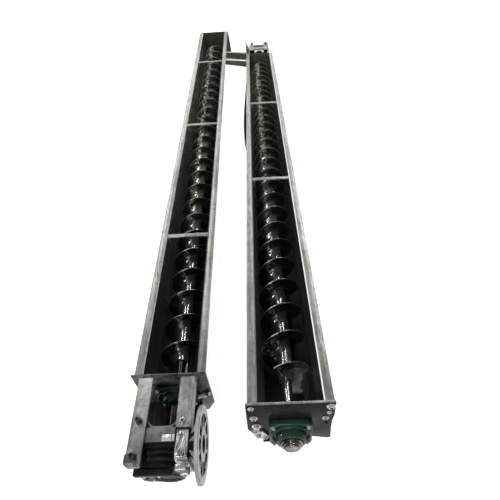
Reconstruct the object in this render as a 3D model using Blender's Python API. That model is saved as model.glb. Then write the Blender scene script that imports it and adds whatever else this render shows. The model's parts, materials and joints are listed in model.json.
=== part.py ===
"""Pair of open screw conveyors joined by a cross chute.

Two U-trough conveyors stand side by side. The left one lies level and carries its
load away from its drive. Near its far end the load drops through a short chute into
the right one, which climbs back and empties through a spout in its floor.

Metres, +Z up, +Y along the left conveyor, the origin on the floor under the middle.
Each conveyor is modelled in its own frame: y = 0 at the near end of its rims,
z = 0 on top of its rims and x = 0 on its middle line.
"""
from math import acos, atan2, cos, hypot, pi, radians, sin, tan

import bmesh
import bpy
from mathutils import Matrix

# The whole assembly
GAP = 0.0003                # between pieces that rest on each other
SLOPE = radians(6.8)        # climb of the right conveyor towards its near end
SHEET = 0.004               # trough and chute sheet
LEFT_AT = (-0.2145, -1.719, 0.380)
RIGHT_AT = (0.2435, -2.004, 0.760)

# What differs between the two conveyors. The end plates reach past the rims' edges by
# "left" and "right" and down to "low", with their lower corners cut off.
LEFT = {
    "side": "left", "at": LEFT_AT, "slope": 0.0,
    "rim_width": 0.290, "flange": 0.035, "length": 3.780,
    "bars": (0.790, 1.940, 3.045), "pitch": 0.1432, "flights": (0.140, 3.700), "start_turn": 0.42,
    "drive": "near", "saddles": (0.620, 3.400), "bearing_side": 0.174,
    "near_plate": {"left": 0.015, "right": 0.001, "low": -0.370},
    "far_plate": {"left": 0.001, "right": 0.001, "low": -0.285},
    "left_cut": (0.036, 0.080), "right_cut": (0.036, 0.080),
    "motor_z": -0.016,
}
RIGHT = {
    "side": "right", "at": RIGHT_AT, "slope": -SLOPE,
    "rim_width": 0.250, "flange": 0.030, "length": 3.570,
    "bars": (1.235, 2.295), "pitch": 0.129, "flights": (0.1374, 3.545), "start_turn": 0.50,
    "drive": "far", "saddles": (0.450, 1.900, 3.250), "bearing_side": 0.130,
    "near_plate": {"left": 0.005, "right": 0.004, "low": -0.243},
    "far_plate": {"left": 0.003, "right": 0.003, "low": -0.243},
    "left_cut": (0.050, 0.050), "right_cut": (0.010, 0.010),
    "motor_z": -0.048,
}

# Sizes that both share, as parts of the width over the rims
AXIS_DROP = 0.60            # rim to screw axis
ROUND_FLOOR = 0.355         # inner radius of the trough's round floor
FLIGHT_RADIUS = 0.334
PIPE_RADIUS = 0.104
STUB_RADIUS = 0.068
STAND_HALF = 0.27           # middle to the outside of a stand
STAND_TOP = 0.275           # below the screw axis

# Sizes in metres that both share
RIM_LEG = 0.030
BAR_WIDE, BAR_SHEET = 0.025, 0.006
PLATE_SHEET = 0.008
BEARING_BASE, BEARING_BOSS = 0.018, 0.026
TAIL_OUT = 0.062            # shaft end past the tail plate
PIPE_PAST = 0.005           # pipe past the first and last flight
FLIGHT_SHEET = 0.004
FLIGHT_STEPS = 12           # faces per turn
FLOOR_STEPS = 20            # faces round a trough's floor
ROUND = 24                  # sides of a round piece

# Drive at the left conveyor's size; the right one's is scaled to its width
DRIVE = {
    "inner": 0.055, "outer": 0.110, "sheet": 0.007, "top": 0.036, "leg": 0.050,
    "rail": 0.345, "rail_short": 0.2165, "slant": 0.027, "rail_round": 0.022,
    "back": 0.217, "shelf": 0.045, "notch": 0.044, "shoulder": 0.040, "bracket_low": 0.095,
    "tray": 0.095, "tray_plain": 0.160,
    "gear_far": 0.320, "gear_low": 0.056, "gear_wide": 0.104, "gear_step": 0.060, "corner": 0.020,
    "hub": 0.052, "hub_out": 0.012,
    "adapter": 0.102, "adapter_low": -0.150, "adapter_top": 0.030,
    "motor_y": 0.262, "disc": 0.132, "disc_face": 0.153, "disc_back": 0.140,
    "cone": 0.040, "recess": 0.058, "bore": 0.014,
}
GEAR_TOP = ((0.262, 0.010), (0.287, -0.002), (0.306, -0.024), (0.320, -0.060))  # out, and up

# Stands
POST, FOOT, STAND_SHEET = 0.040, 0.060, 0.008
SADDLE_BELOW = 0.060        # plate below the trough
BRACE = (0.120, 0.160)      # from and to this height, on the tall ones

# Chute between the troughs
CHUTE_NEAR = LEFT_AT[1] + 3.079     # its near wall's inner face, along the left trough
CHUTE_LENGTH = 0.146
CHUTE_FLANGE = 0.028
CHUTE_DEPTH = (0.040, 0.066)        # below the left rim, and below the right one
CHUTE_FALL = 0.020                  # of its walls' tops, from the left rim to the right one
GUSSET_WIDE = 0.048

# Outlet in the right trough's floor
OUTLET_FROM = 0.110
OUTLET_LENGTH = 0.130
OUTLET_HALF = 0.85          # of the round floor's radius
OUTLET_DROP = 0.220
OUTLET_FLANGE = 0.016


def material(name, colour, roughness, metallic):
    mat = bpy.data.materials.new(name)
    mat.use_nodes = True
    shader = mat.node_tree.nodes["Principled BSDF"]
    shader.inputs["Base Color"].default_value = (*colour, 1)
    shader.inputs["Roughness"].default_value = roughness
    shader.inputs["Metallic"].default_value = metallic
    return mat


def make_materials():
    return {
        "trough": material("dark trough steel", (0.030, 0.032, 0.028), 0.45, 0.8),
        "rim": material("ground rim steel", (0.46, 0.47, 0.44), 0.40, 0.9),
        "plate": material("mill scale plate", (0.075, 0.070, 0.062), 0.50, 0.8),
        "screw": material("polished screw steel", (0.20, 0.20, 0.18), 0.28, 1.0),
        "bearing": material("green bearing paint", (0.025, 0.105, 0.075), 0.45, 0.0),
        "gearbox": material("black gearbox casting", (0.012, 0.012, 0.012), 0.40, 0.2),
        "aluminium": material("cast aluminium", (0.55, 0.57, 0.55), 0.45, 0.9),
    }


def finish(name, bm, mat, parent, smooth=False):
    """Turns a bmesh into a named object under its conveyor's empty."""
    bmesh.ops.recalc_face_normals(bm, faces=bm.faces)
    mesh = bpy.data.meshes.new(name)
    bm.to_mesh(mesh)
    bm.free()
    if smooth:
        mesh.shade_smooth()
        mesh.set_sharp_from_angle(angle=radians(35))
    mesh.materials.append(mat)
    obj = bpy.data.objects.new(name, mesh)
    bpy.context.scene.collection.objects.link(obj)
    obj.parent = parent
    return obj


def empty(name, at, turn=(0, 0, 0), parent=None):
    obj = bpy.data.objects.new(name, None)
    bpy.context.scene.collection.objects.link(obj)
    obj.location = at
    obj.rotation_euler = turn
    obj.parent = parent
    return obj


def add_box(bm, low, high):
    """Adds a box between two corners."""
    size = [b - a for a, b in zip(low, high)]
    mid = [(a + b) / 2 for a, b in zip(low, high)]
    place = Matrix.Translation(mid) @ Matrix.Diagonal((*size, 1))
    bmesh.ops.create_cube(bm, size=1, matrix=place)


def add_prism(bm, outline, start, end, axis="y"):
    """Adds a closed outline, given in the plane across the axis, swept along the axis."""
    place = {
        "x": lambda a, b, s: (s, a, b),
        "y": lambda a, b, s: (a, s, b),
        "z": lambda a, b, s: (a, b, s),
    }[axis]
    face = bm.faces.new([bm.verts.new(place(a, b, start)) for a, b in outline])
    swept = bmesh.ops.extrude_face_region(bm, geom=[face])
    tops = [v for v in swept["geom"] if isinstance(v, bmesh.types.BMVert)]
    bmesh.ops.translate(bm, verts=tops, vec=place(0, 0, end - start))


def add_round(bm, radius, start, end, centre=(0, 0), axis="y", sides=ROUND, end_radius=None):
    """Adds a round bar along an axis, between two places on it."""
    turn = {
        "x": Matrix.Rotation(pi / 2, 4, "Y"),
        "y": Matrix.Rotation(-pi / 2, 4, "X"),
        "z": Matrix.Identity(4),
    }[axis]
    mid = (start + end) / 2
    at = {
        "x": (mid, *centre),
        "y": (centre[0], mid, centre[1]),
        "z": (*centre, mid),
    }[axis]
    bmesh.ops.create_cone(
        bm, cap_ends=True, segments=sides, depth=end - start, radius1=radius,
        radius2=radius if end_radius is None else end_radius,
        matrix=Matrix.Translation(at) @ turn)


def arc(radius, start, end, steps, centre=(0, 0)):
    """Points on an arc, both ends included."""
    turns = [start + (end - start) * i / steps for i in range(steps + 1)]
    return [(centre[0] + radius * cos(t), centre[1] + radius * sin(t)) for t in turns]


def combine(obj, tool, how):
    """Joins a tool to an object, or cuts it away, with a Boolean."""
    mod = obj.modifiers.new(how.lower(), "BOOLEAN")
    mod.operation = how
    mod.solver = "EXACT"
    mod.object = tool
    tool.hide_render = True
    tool.display_type = "WIRE"


def sizes(spec):
    """Works out one conveyor's sizes from its width over the rims."""
    width = spec["rim_width"]
    inner = width / 2 - spec["flange"]
    axis = AXIS_DROP * width
    hollow = ROUND_FLOOR * width
    lean = acos(hollow / hypot(inner, axis)) - atan2(axis, inner)
    return {
        "half": width / 2,
        "inner": inner,
        "outer": inner + SHEET / cos(lean),
        "lean": lean,
        "floor": hollow,
        "floor_outer": hollow + SHEET,
        "axis": -axis,
        "flight": FLIGHT_RADIUS * width,
        "pipe": PIPE_RADIUS * width,
        "stub": STUB_RADIUS * width,
        "scale": width / LEFT["rim_width"],
    }


def trough_outline(dim):
    """Down the outside, round the floor and up, then the inside back."""
    axis, low = (0, dim["axis"]), dim["lean"]
    outer = arc(dim["floor_outer"], pi + low, 2 * pi - low, FLOOR_STEPS, axis)
    inner = arc(dim["floor"], 2 * pi - low, pi + low, FLOOR_STEPS, axis)
    return [(-dim["outer"], -GAP), *outer, (dim["outer"], -GAP),
            (dim["inner"], -GAP), *inner, (-dim["inner"], -GAP)]


def make_trough(spec, dim, mats, frame):
    bm = bmesh.new()
    add_prism(bm, trough_outline(dim), GAP, spec["length"] - GAP)
    return finish(spec["side"] + "_trough", bm, mats["trough"], frame, smooth=True)


def make_rims(spec, dim, mats, frame):
    """One angle along each edge: a flange on top and a leg down the trough's side."""
    leg, sheet = RIM_LEG, SHEET
    for name, sign in (("left", -1), ("right", 1)):
        start = dim["outer"] + GAP
        outline = [
            (start, -leg), (start + sheet, -leg), (start + sheet, -sheet),
            (dim["half"], -sheet), (dim["half"], 0), (start, 0)]
        bm = bmesh.new()
        add_prism(bm, [(sign * x, z) for x, z in outline], GAP, spec["length"] - GAP)
        finish(spec["side"] + "_rim_" + name, bm, mats["rim"], frame)


def make_crossbars(spec, dim, mats, frame):
    """Flat bars between the trough's walls, flush with the rims."""
    width, sheet = BAR_WIDE, BAR_SHEET
    for number, at in enumerate(spec["bars"], 1):
        bm = bmesh.new()
        reach = dim["inner"] - GAP * 2
        add_box(bm, (-reach, at - width / 2, -sheet), (reach, at + width / 2, 0))
        finish(f"{spec['side']}_crossbar_{number}", bm, mats["rim"], frame)


def plate_places(spec):
    """Each end plate's use, its end, its inner face, and the way from there to its outer one."""
    near_use, far_use = ("drive", "tail") if spec["drive"] == "near" else ("tail", "drive")
    return (near_use, "near", 0, -1), (far_use, "far", spec["length"], 1)


def make_end_plates(spec, dim, mats, frame):
    """Plates across both ends, with a hole for the shaft and cut lower corners."""
    left_cut, right_cut = spec["left_cut"], spec["right_cut"]
    for use, end, face, sign in plate_places(spec):
        reach = spec[end + "_plate"]
        left, right = -dim["half"] - reach["left"], dim["half"] + reach["right"]
        low = reach["low"]
        outline = [
            (left, 0), (left, low + left_cut[1]), (left + left_cut[0], low),
            (right - right_cut[0], low), (right, low + right_cut[1]), (right, 0)]
        start, stop = sorted((face, face + sign * PLATE_SHEET))
        bm = bmesh.new()
        add_prism(bm, outline, start, stop)
        sheet = finish(f"{spec['side']}_{use}_end_plate", bm, mats["plate"], frame)
        hole = bmesh.new()
        add_round(hole, dim["stub"] + 0.006, start - 0.01, stop + 0.01, (0, dim["axis"]))
        combine(sheet, finish(sheet.name + "_bore", hole, mats["plate"], frame), "DIFFERENCE")


def make_bearings(spec, dim, mats, frame):
    """A square flange housing outside each end plate, with a round boss on the shaft."""
    base, boss, side = BEARING_BASE, BEARING_BOSS, spec["bearing_side"] / 2
    corner = side * 0.22
    square = [
        (side, -side + corner), (side, side - corner), (side - corner, side),
        (-side + corner, side), (-side, side - corner), (-side, -side + corner),
        (-side + corner, -side), (side - corner, -side)]
    bore = (dim["stub"] + GAP) / cos(pi / ROUND)
    for use, _, face, sign in plate_places(spec):
        name = f"{spec['side']}_{use}_bearing"
        seat = face + sign * (PLATE_SHEET + GAP)
        bm = bmesh.new()
        add_prism(bm, [(x, z + dim["axis"]) for x, z in square], seat, seat + sign * base)
        block = finish(name, bm, mats["bearing"], frame, smooth=True)
        ring = bmesh.new()
        near, far = sorted((seat + sign * base / 2, seat + sign * (base + boss)))
        add_round(ring, side * 0.72, near, far, (0, dim["axis"]))
        combine(block, finish(name + "_boss", ring, mats["bearing"], frame), "UNION")
        hole = bmesh.new()
        near, far = sorted((seat - sign * 0.01, seat + sign * (base + boss + 0.01)))
        add_round(hole, bore, near, far, (0, dim["axis"]))
        combine(block, finish(name + "_bore", hole, mats["bearing"], frame), "DIFFERENCE")


def shaft_reach(spec, dim):
    """Where the shaft ends lie: past the tail bearing, and inside the gearbox bore."""
    tail = PLATE_SHEET + TAIL_OUT
    drive = PLATE_SHEET + DRIVE["gear_far"] * dim["scale"] - 0.030
    near, far = (drive, tail) if spec["drive"] == "near" else (tail, drive)
    return -near, spec["length"] + far


def make_shaft(spec, dim, mats, frame):
    """Pipe along the flights, with a thinner stub shaft out of each end."""
    start, stop = shaft_reach(spec, dim)
    first, last = spec["flights"]
    stub, pipe = dim["stub"], dim["pipe"]
    pipe_from, pipe_to = first - PIPE_PAST, min(last + PIPE_PAST, spec["length"] - 0.012)
    profile = [
        (0, start), (stub, start), (stub, pipe_from), (pipe, pipe_from),
        (pipe, pipe_to), (stub, pipe_to), (stub, stop), (0, stop)]
    bm = bmesh.new()
    verts = [bm.verts.new((r, y, 0)) for r, y in profile]
    edges = [bm.edges.new(pair) for pair in zip(verts, verts[1:])]
    bmesh.ops.spin(
        bm, geom=verts + edges, cent=(0, 0, 0), axis=(0, 1, 0), dvec=(0, 0, 0),
        angle=2 * pi, steps=ROUND, use_merge=True)
    bmesh.ops.remove_doubles(bm, verts=bm.verts, dist=1e-6)
    obj = finish(spec["side"] + "_shaft", bm, mats["screw"], frame, smooth=True)
    obj.location = (0, 0, dim["axis"])


def make_flight(spec, dim, mats, frame):
    """Right-hand helical ribbon round the pipe."""
    first, last = spec["flights"]
    inner = (dim["pipe"] + GAP) / cos(pi / FLIGHT_STEPS)
    turns = (last - first) / spec["pitch"]
    steps = round(turns * FLIGHT_STEPS)
    bm = bmesh.new()
    corners = [
        (inner, 0), (dim["flight"], 0), (dim["flight"], FLIGHT_SHEET), (inner, FLIGHT_SHEET)]
    face = bm.faces.new([bm.verts.new((r, first + y, 0)) for r, y in corners])
    turn = Matrix.Rotation(2 * pi * spec["start_turn"], 3, "Y")
    bmesh.ops.rotate(bm, verts=bm.verts, cent=(0, 0, 0), matrix=turn)
    bmesh.ops.spin(
        bm, geom=[face, *face.edges, *face.verts], cent=(0, 0, 0), axis=(0, 1, 0),
        dvec=(0, (last - first) / steps, 0), angle=2 * pi * steps / FLIGHT_STEPS, steps=steps)
    bmesh.ops.triangulate(bm, faces=bm.faces)
    obj = finish(spec["side"] + "_flight", bm, mats["screw"], frame)
    obj.location = (0, 0, dim["axis"])


def make_drive(spec, dim, mats, frame):
    """Rails, bracket, gearbox and motor flange. Here y runs out from the drive end plate."""
    if spec["drive"] == "near":
        at, turn = (0, -PLATE_SHEET, 0), (0, 0, pi)
    else:
        at, turn = (0, spec["length"] + PLATE_SHEET, 0), (0, 0, 0)
    out = empty(spec["side"] + "_drive_place", at, turn, frame)
    drive = {name: size * dim["scale"] for name, size in DRIVE.items()}
    drive["motor_z"] = spec["motor_z"]
    make_rails(spec, drive, mats, out)
    make_bracket(spec, dim, drive, mats, out)
    make_gearbox(spec, dim, drive, mats, out)
    make_adapter(spec, drive, mats, out)
    make_motor_flange(spec, drive, mats, out)


def make_rails(spec, drive, mats, out):
    """Two angles out from the end plate. The motor's side stops short of the motor flange."""
    inner, outer, sheet, top = drive["inner"], drive["outer"], drive["sheet"], drive["top"]
    low = top - drive["leg"]
    outline = [
        (inner, top - sheet), (inner, top), (outer, top), (outer, low),
        (outer - sheet, low), (outer - sheet, top - sheet)]
    slant = [(-1, low - 0.001), (0, low - 0.001), (0, -0.001), (drive["slant"], top + 0.001),
             (-1, top + 0.001)]
    for name, sign, length in (("motor_side", -1, "rail_short"), ("plain_side", 1, "rail")):
        bm = bmesh.new()
        add_prism(bm, [(sign * x, z) for x, z in outline], GAP, drive[length])
        rail = finish(f"{spec['side']}_rail_{name}", bm, mats["rim"], out)
        cut = bmesh.new()
        add_prism(cut, slant, -outer * 1.2, outer * 1.2, "x")
        combine(rail, finish(rail.name + "_slant", cut, mats["rim"], out), "DIFFERENCE")
        if name == "plain_side":
            radius, end, past = drive["rail_round"], drive["rail"], 0.01
            corner = [(outer + past, end + past), (outer + past, end - radius),
                      *arc(radius, 0, pi / 2, 5, (outer - radius, end - radius)),
                      (outer - radius, end + past)]
            cut = bmesh.new()
            add_prism(cut, corner, low - past, top + past, "z")
            combine(rail, finish(rail.name + "_corner", cut, mats["rim"], out), "DIFFERENCE")


def make_bracket(spec, dim, drive, mats, out):
    """Plate hung under the rails, open at the top round the shaft, with a shelf and a tray."""
    inner, sheet, back = drive["inner"], drive["sheet"], drive["back"]
    reach = drive["outer"] - sheet - GAP
    under = drive["top"] - sheet - GAP
    shoulder, low = -drive["shoulder"], dim["axis"] - drive["bracket_low"]
    plate = [
        (-reach, under), (-reach, shoulder), (-inner, low), (inner, low),
        (reach, shoulder), (reach, under)]
    bm = bmesh.new()
    add_prism(bm, plate, back - sheet, back)
    bracket = finish(spec["side"] + "_drive_bracket", bm, mats["plate"], out)
    half = drive["notch"]
    slot = bmesh.new()
    notch = [(-half, under + 0.01), *arc(half, pi, 2 * pi, 8, (0, dim["axis"])), (half, under + 0.01)]
    add_prism(slot, notch, back - sheet * 2, back + sheet)
    combine(bracket, finish(bracket.name + "_notch", slot, mats["plate"], out), "DIFFERENCE")
    shelf = bmesh.new()
    side = inner - GAP * 2
    add_box(shelf, (-side, back - sheet * 0.9, under - sheet), (side, back + drive["shelf"], under))
    combine(bracket, finish(bracket.name + "_shelf", shelf, mats["plate"], out), "UNION")
    tray = bmesh.new()
    plain = min(drive["tray_plain"], dim["half"] + SHEET)
    add_box(tray, (-drive["tray"], GAP, low), (plain, back - sheet * 0.1, low + SHEET))
    combine(bracket, finish(bracket.name + "_tray", tray, mats["plate"], out), "UNION")


def make_gearbox(spec, dim, drive, mats, out):
    """Cast worm gearbox between the rails, with the hollow output shaft's bore through it."""
    side, wide = drive["inner"] - GAP, drive["gear_wide"]
    start, stop, shelf_end = drive["back"] + GAP, drive["gear_far"], drive["back"] + drive["shelf"]
    under_shelf = drive["top"] - drive["sheet"] * 2 - GAP * 2
    low = dim["axis"] - drive["gear_low"]
    step, cut = -drive["gear_step"], drive["corner"]
    crown = [(y * dim["scale"], z * dim["scale"]) for y, z in GEAR_TOP]
    outline = [(start, low), (start, under_shelf), (shelf_end + GAP, under_shelf), *crown, (stop, low)]
    bm = bmesh.new()
    add_prism(bm, outline, -side, side, "x")
    box = finish(spec["side"] + "_gearbox", bm, mats["gearbox"], out)
    lower = [(-side, low + cut), (-side + cut, low), (wide - cut, low), (wide, low + cut),
             (wide, step - cut), (wide - cut, step), (-side, step)]
    body = bmesh.new()
    add_prism(body, lower, start, stop)
    combine(box, finish(box.name + "_lower", body, mats["gearbox"], out), "UNION")
    hub = bmesh.new()
    add_round(hub, drive["hub"], stop - 0.01, stop + drive["hub_out"], (0, dim["axis"]))
    combine(box, finish(box.name + "_hub", hub, mats["gearbox"], out), "UNION")
    bore = bmesh.new()
    add_round(bore, (dim["stub"] + 0.001) / cos(pi / ROUND), start - 0.01,
              stop + drive["hub_out"] + 0.01, (0, dim["axis"]))
    combine(box, finish(box.name + "_bore", bore, mats["gearbox"], out), "DIFFERENCE")


def make_adapter(spec, drive, mats, out):
    """Cast block on the gearbox's side, in line with the rail, that carries the motor flange."""
    bm = bmesh.new()
    low, top, far = drive["adapter_low"], drive["adapter_top"], drive["gear_far"]
    near, cut = drive["back"] + GAP * 2, drive["corner"]
    outline = [(near, low), (near, top), (far - cut, top), (far, top - cut), (far, low)]
    add_prism(bm, outline, -drive["adapter"], -drive["inner"], "x")
    finish(spec["side"] + "_motor_adapter", bm, mats["aluminium"], out)


def make_motor_flange(spec, drive, mats, out):
    """Round flange for the motor, with a cone behind it and a recess and bore in front."""
    centre = (drive["motor_y"], drive["motor_z"])
    face, back, seat = -drive["disc_face"], -drive["disc_back"], -drive["adapter"] - GAP
    bm = bmesh.new()
    add_round(bm, drive["disc"], face, back, centre, "x", 32)
    flange = finish(spec["side"] + "_motor_flange", bm, mats["aluminium"], out)
    cone = bmesh.new()
    add_round(cone, drive["cone"] * 1.4, back - 0.002, seat, centre, "x", 32, drive["cone"])
    combine(flange, finish(flange.name + "_cone", cone, mats["aluminium"], out), "UNION")
    recess = bmesh.new()
    add_round(recess, drive["recess"], face - 0.01, face + 0.005, centre, "x", 32)
    combine(flange, finish(flange.name + "_recess", recess, mats["aluminium"], out), "DIFFERENCE")
    bore = bmesh.new()
    add_round(bore, drive["bore"], face - 0.01, seat - drive["bore"], centre, "x", 16)
    combine(flange, finish(flange.name + "_bore", bore, mats["aluminium"], out), "DIFFERENCE")


def right_rim_height(y):
    """World height of the right conveyor's rims at a world y."""
    return RIGHT_AT[2] - (y - RIGHT_AT[1]) * tan(SLOPE)


def make_stands(spec, dim, mats, frame):
    """A cradle of plate and two posts under the trough, upright on the floor."""
    wide = STAND_HALF * spec["rim_width"]
    for number, along in enumerate(spec["saddles"], 1):
        y = spec["at"][1] + along
        drop = along * tan(-spec["slope"])
        axis = spec["at"][2] + dim["axis"] - drop
        top = axis - STAND_TOP * spec["rim_width"]
        place = empty(f"{spec['side']}_stand_place_{number}", (spec["at"][0], y, 0))
        bm = bmesh.new()
        low = max(axis - dim["floor_outer"] - SADDLE_BELOW, 0.030)
        add_box(bm, (-wide + 0.002, -STAND_SHEET / 2, low), (wide - 0.002, STAND_SHEET / 2, top))
        stand = finish(f"{spec['side']}_stand_{number}", bm, mats["plate"], place)
        for sign in (-1, 1):
            leg = bmesh.new()
            mid = sign * (wide - POST / 2)
            add_box(leg, (mid - POST / 2, -POST / 2, STAND_SHEET / 2), (mid + POST / 2, POST / 2, top))
            combine(stand, finish(f"{stand.name}_post_{sign}", leg, mats["plate"], place), "UNION")
            pad = bmesh.new()
            mid = sign * (wide - FOOT / 2)
            add_box(pad, (mid - FOOT / 2, -FOOT / 2, 0), (mid + FOOT / 2, FOOT / 2, STAND_SHEET))
            combine(stand, finish(f"{stand.name}_pad_{sign}", pad, mats["plate"], place), "UNION")
        if axis > 0.45:
            brace = bmesh.new()
            half = wide - POST / 2
            add_box(brace, (-half, -0.006, BRACE[0]), (half, 0.006, BRACE[1]))
            combine(stand, finish(stand.name + "_brace", brace, mats["plate"], place), "UNION")
        hollow = bmesh.new()
        add_round(hollow, (dim["floor_outer"] + GAP) / cos(pi / 48), along - 0.3, along + 0.3,
                  (0, dim["axis"]), "y", 48)
        combine(stand, finish(stand.name + "_cradle", hollow, mats["plate"], frame), "DIFFERENCE")


def make_outlet(spec, dim, mats, frame):
    """Square spout under the outlet, its top cut to the trough's round floor."""
    half, near, far = dim["floor"] * OUTLET_HALF, OUTLET_FROM, OUTLET_FROM + OUTLET_LENGTH
    low, top = dim["axis"] - dim["floor_outer"] - OUTLET_DROP, dim["axis"] - 0.030
    cut = bmesh.new()
    add_box(cut, (-half, near, low - 0.02), (half, far, top))
    opening = finish("outlet_opening", cut, mats["trough"], frame)
    combine(bpy.data.objects[spec["side"] + "_trough"], opening, "DIFFERENCE")
    bm = bmesh.new()
    add_box(bm, (-half - SHEET, near - SHEET, low), (half + SHEET, far + SHEET, top))
    spout = finish(spec["side"] + "_outlet_spout", bm, mats["trough"], frame)
    rim = bmesh.new()
    wide = OUTLET_FLANGE
    add_box(rim, (-half - wide, near - wide, low), (half + wide, far + wide, low + SHEET))
    combine(spout, finish("outlet_flange", rim, mats["trough"], frame), "UNION")
    combine(spout, opening, "DIFFERENCE")
    hollow = bmesh.new()
    add_round(hollow, (dim["floor_outer"] + GAP) / cos(pi / 48), -0.05, far + 0.1,
              (0, dim["axis"]), "y", 48)
    combine(spout, finish("outlet_saddle", hollow, mats["trough"], frame), "DIFFERENCE")


def make_chute(left, right, mats):
    """Shallow open chute that drops from the left trough's side into the right trough."""
    near, far = CHUTE_NEAR, CHUTE_NEAR + CHUTE_LENGTH
    left_wall = LEFT_AT[0] + left["inner"]
    left_rim = LEFT_AT[0] + left["half"] + GAP
    right_wall = RIGHT_AT[0] - right["inner"]
    right_rim = RIGHT_AT[0] - right["half"] - GAP
    left_leg = LEFT_AT[0] + left["outer"] + SHEET + GAP * 2
    right_leg = RIGHT_AT[0] - right["outer"] - SHEET - GAP * 2
    left_top = LEFT_AT[2]
    floor_left, floor_right = left_top - CHUTE_DEPTH[0], right_rim_height(near) - CHUTE_DEPTH[1]
    pitch = (floor_right - floor_left) / (right_wall - left_wall)

    def floor_at(x):
        return floor_left + pitch * (x - left_wall)

    bm = bmesh.new()
    ends = (left_wall, right_wall)
    slab = [(x, floor_at(x)) for x in ends] + [(x, floor_at(x) - SHEET) for x in reversed(ends)]
    add_prism(bm, slab, near + GAP, far - GAP)
    finish("chute_floor", bm, mats["trough"], None)

    right_top = left_top - CHUTE_FALL
    for name, start, stop, sign in (("near", near - SHEET, near, -1), ("far", far, far + SHEET, 1)):
        under = SHEET + GAP
        notch = right_rim_height(stop) - under * 1.1
        wall = [
            (left_leg, floor_at(left_leg) - SHEET), (left_leg, left_top - under),
            (left_rim, left_top - under), (left_rim, left_top),
            (right_rim, right_top), (right_rim, notch),
            (right_leg, notch), (right_leg, floor_at(right_leg) - SHEET)]
        bm = bmesh.new()
        add_prism(bm, wall, start, stop)
        side = finish(f"chute_{name}_wall", bm, mats["rim"], None)
        strip = [
            (left_rim, left_top - SHEET), (left_rim, left_top),
            (right_rim, right_top), (right_rim, right_top - SHEET)]
        lip = bmesh.new()
        outer = start - CHUTE_FLANGE if sign < 0 else stop + CHUTE_FLANGE
        add_prism(lip, strip, min(outer, start), max(outer, stop))
        combine(side, finish(side.name + "_flange", lip, mats["rim"], None), "UNION")

    bm = bmesh.new()
    tip = LEFT_AT[1] + LEFT["length"]
    base = far + SHEET + CHUTE_FLANGE + GAP
    corner = [(left_rim, tip), (left_rim, base), (left_rim + GUSSET_WIDE, base), (left_rim + 0.004, tip)]
    add_prism(bm, corner, left_top - 0.012, left_top - 0.007, "z")
    finish("chute_gusset", bm, mats["trough"], None)

    opening = bmesh.new()
    low = floor_at(left_wall + SHEET) - SHEET - GAP
    add_box(opening, (left_wall - 0.02, near, low), (left_leg + 0.001, far, left_top - SHEET - 0.001))
    gate = finish("left_chute_opening", opening, mats["trough"], None)
    for name in ("left_trough", "left_rim_right"):
        combine(bpy.data.objects[name], gate, "DIFFERENCE")
    opening = bmesh.new()
    low = floor_at(right_wall) - SHEET - GAP
    under = SHEET + 0.001
    outline = [
        (near, low), (far, low), (far, right_rim_height(far) - under),
        (near, right_rim_height(near) - under)]
    add_prism(opening, outline, right_leg - 0.001, right_wall + 0.02, "x")
    gate = finish("right_chute_opening", opening, mats["trough"], None)
    for name in ("right_trough", "right_rim_left"):
        combine(bpy.data.objects[name], gate, "DIFFERENCE")


def make_conveyor(spec, mats):
    dim = sizes(spec)
    frame = empty(spec["side"] + "_place", spec["at"], (spec["slope"], 0, 0))
    make_trough(spec, dim, mats, frame)
    make_rims(spec, dim, mats, frame)
    make_crossbars(spec, dim, mats, frame)
    make_end_plates(spec, dim, mats, frame)
    make_bearings(spec, dim, mats, frame)
    make_shaft(spec, dim, mats, frame)
    make_flight(spec, dim, mats, frame)
    make_drive(spec, dim, mats, frame)
    make_stands(spec, dim, mats, frame)
    if spec is RIGHT:
        make_outlet(spec, dim, mats, frame)
    return dim


def main():
    for obj in list(bpy.data.objects):
        bpy.data.objects.remove(obj, do_unlink=True)
    mats = make_materials()
    left, right = [make_conveyor(spec, mats) for spec in (LEFT, RIGHT)]
    make_chute(left, right, mats)


main()
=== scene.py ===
import json
from math import atan2, cos, pi, radians, sin

import bmesh
import bpy
from mathutils import Matrix, Vector, noise


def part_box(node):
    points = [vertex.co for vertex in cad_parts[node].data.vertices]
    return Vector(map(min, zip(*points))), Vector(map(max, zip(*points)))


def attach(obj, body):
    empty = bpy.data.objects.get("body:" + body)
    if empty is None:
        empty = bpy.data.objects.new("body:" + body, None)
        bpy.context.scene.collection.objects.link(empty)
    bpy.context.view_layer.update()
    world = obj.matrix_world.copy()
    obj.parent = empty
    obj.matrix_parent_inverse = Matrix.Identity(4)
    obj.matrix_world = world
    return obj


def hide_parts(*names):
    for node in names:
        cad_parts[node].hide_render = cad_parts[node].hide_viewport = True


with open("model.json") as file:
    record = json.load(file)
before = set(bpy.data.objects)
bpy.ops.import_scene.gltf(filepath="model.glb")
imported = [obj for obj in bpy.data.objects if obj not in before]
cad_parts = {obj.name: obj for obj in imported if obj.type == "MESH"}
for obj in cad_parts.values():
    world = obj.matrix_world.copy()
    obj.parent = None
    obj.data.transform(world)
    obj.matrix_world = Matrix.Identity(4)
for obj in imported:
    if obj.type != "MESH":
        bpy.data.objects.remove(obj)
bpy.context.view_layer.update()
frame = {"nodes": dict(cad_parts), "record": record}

# Both conveyors are built at their own near rim corner, y along the trough, z = 0 on the rims
leftConveyor = {
    "side": "left", "at": (-0.2145, -1.719, 0.38), "climb": 0.0,
    "width": 0.29, "flange": 0.035, "length": 3.78, "drive": "near",
    "bars": (0.79, 1.94, 3.045), "stands": (0.62, 3.4),
    "pitch": 0.1432, "flights": (0.14, 3.7), "startTurn": 0.42,
    "bearing": 0.174, "motorZ": -0.016,
}
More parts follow.
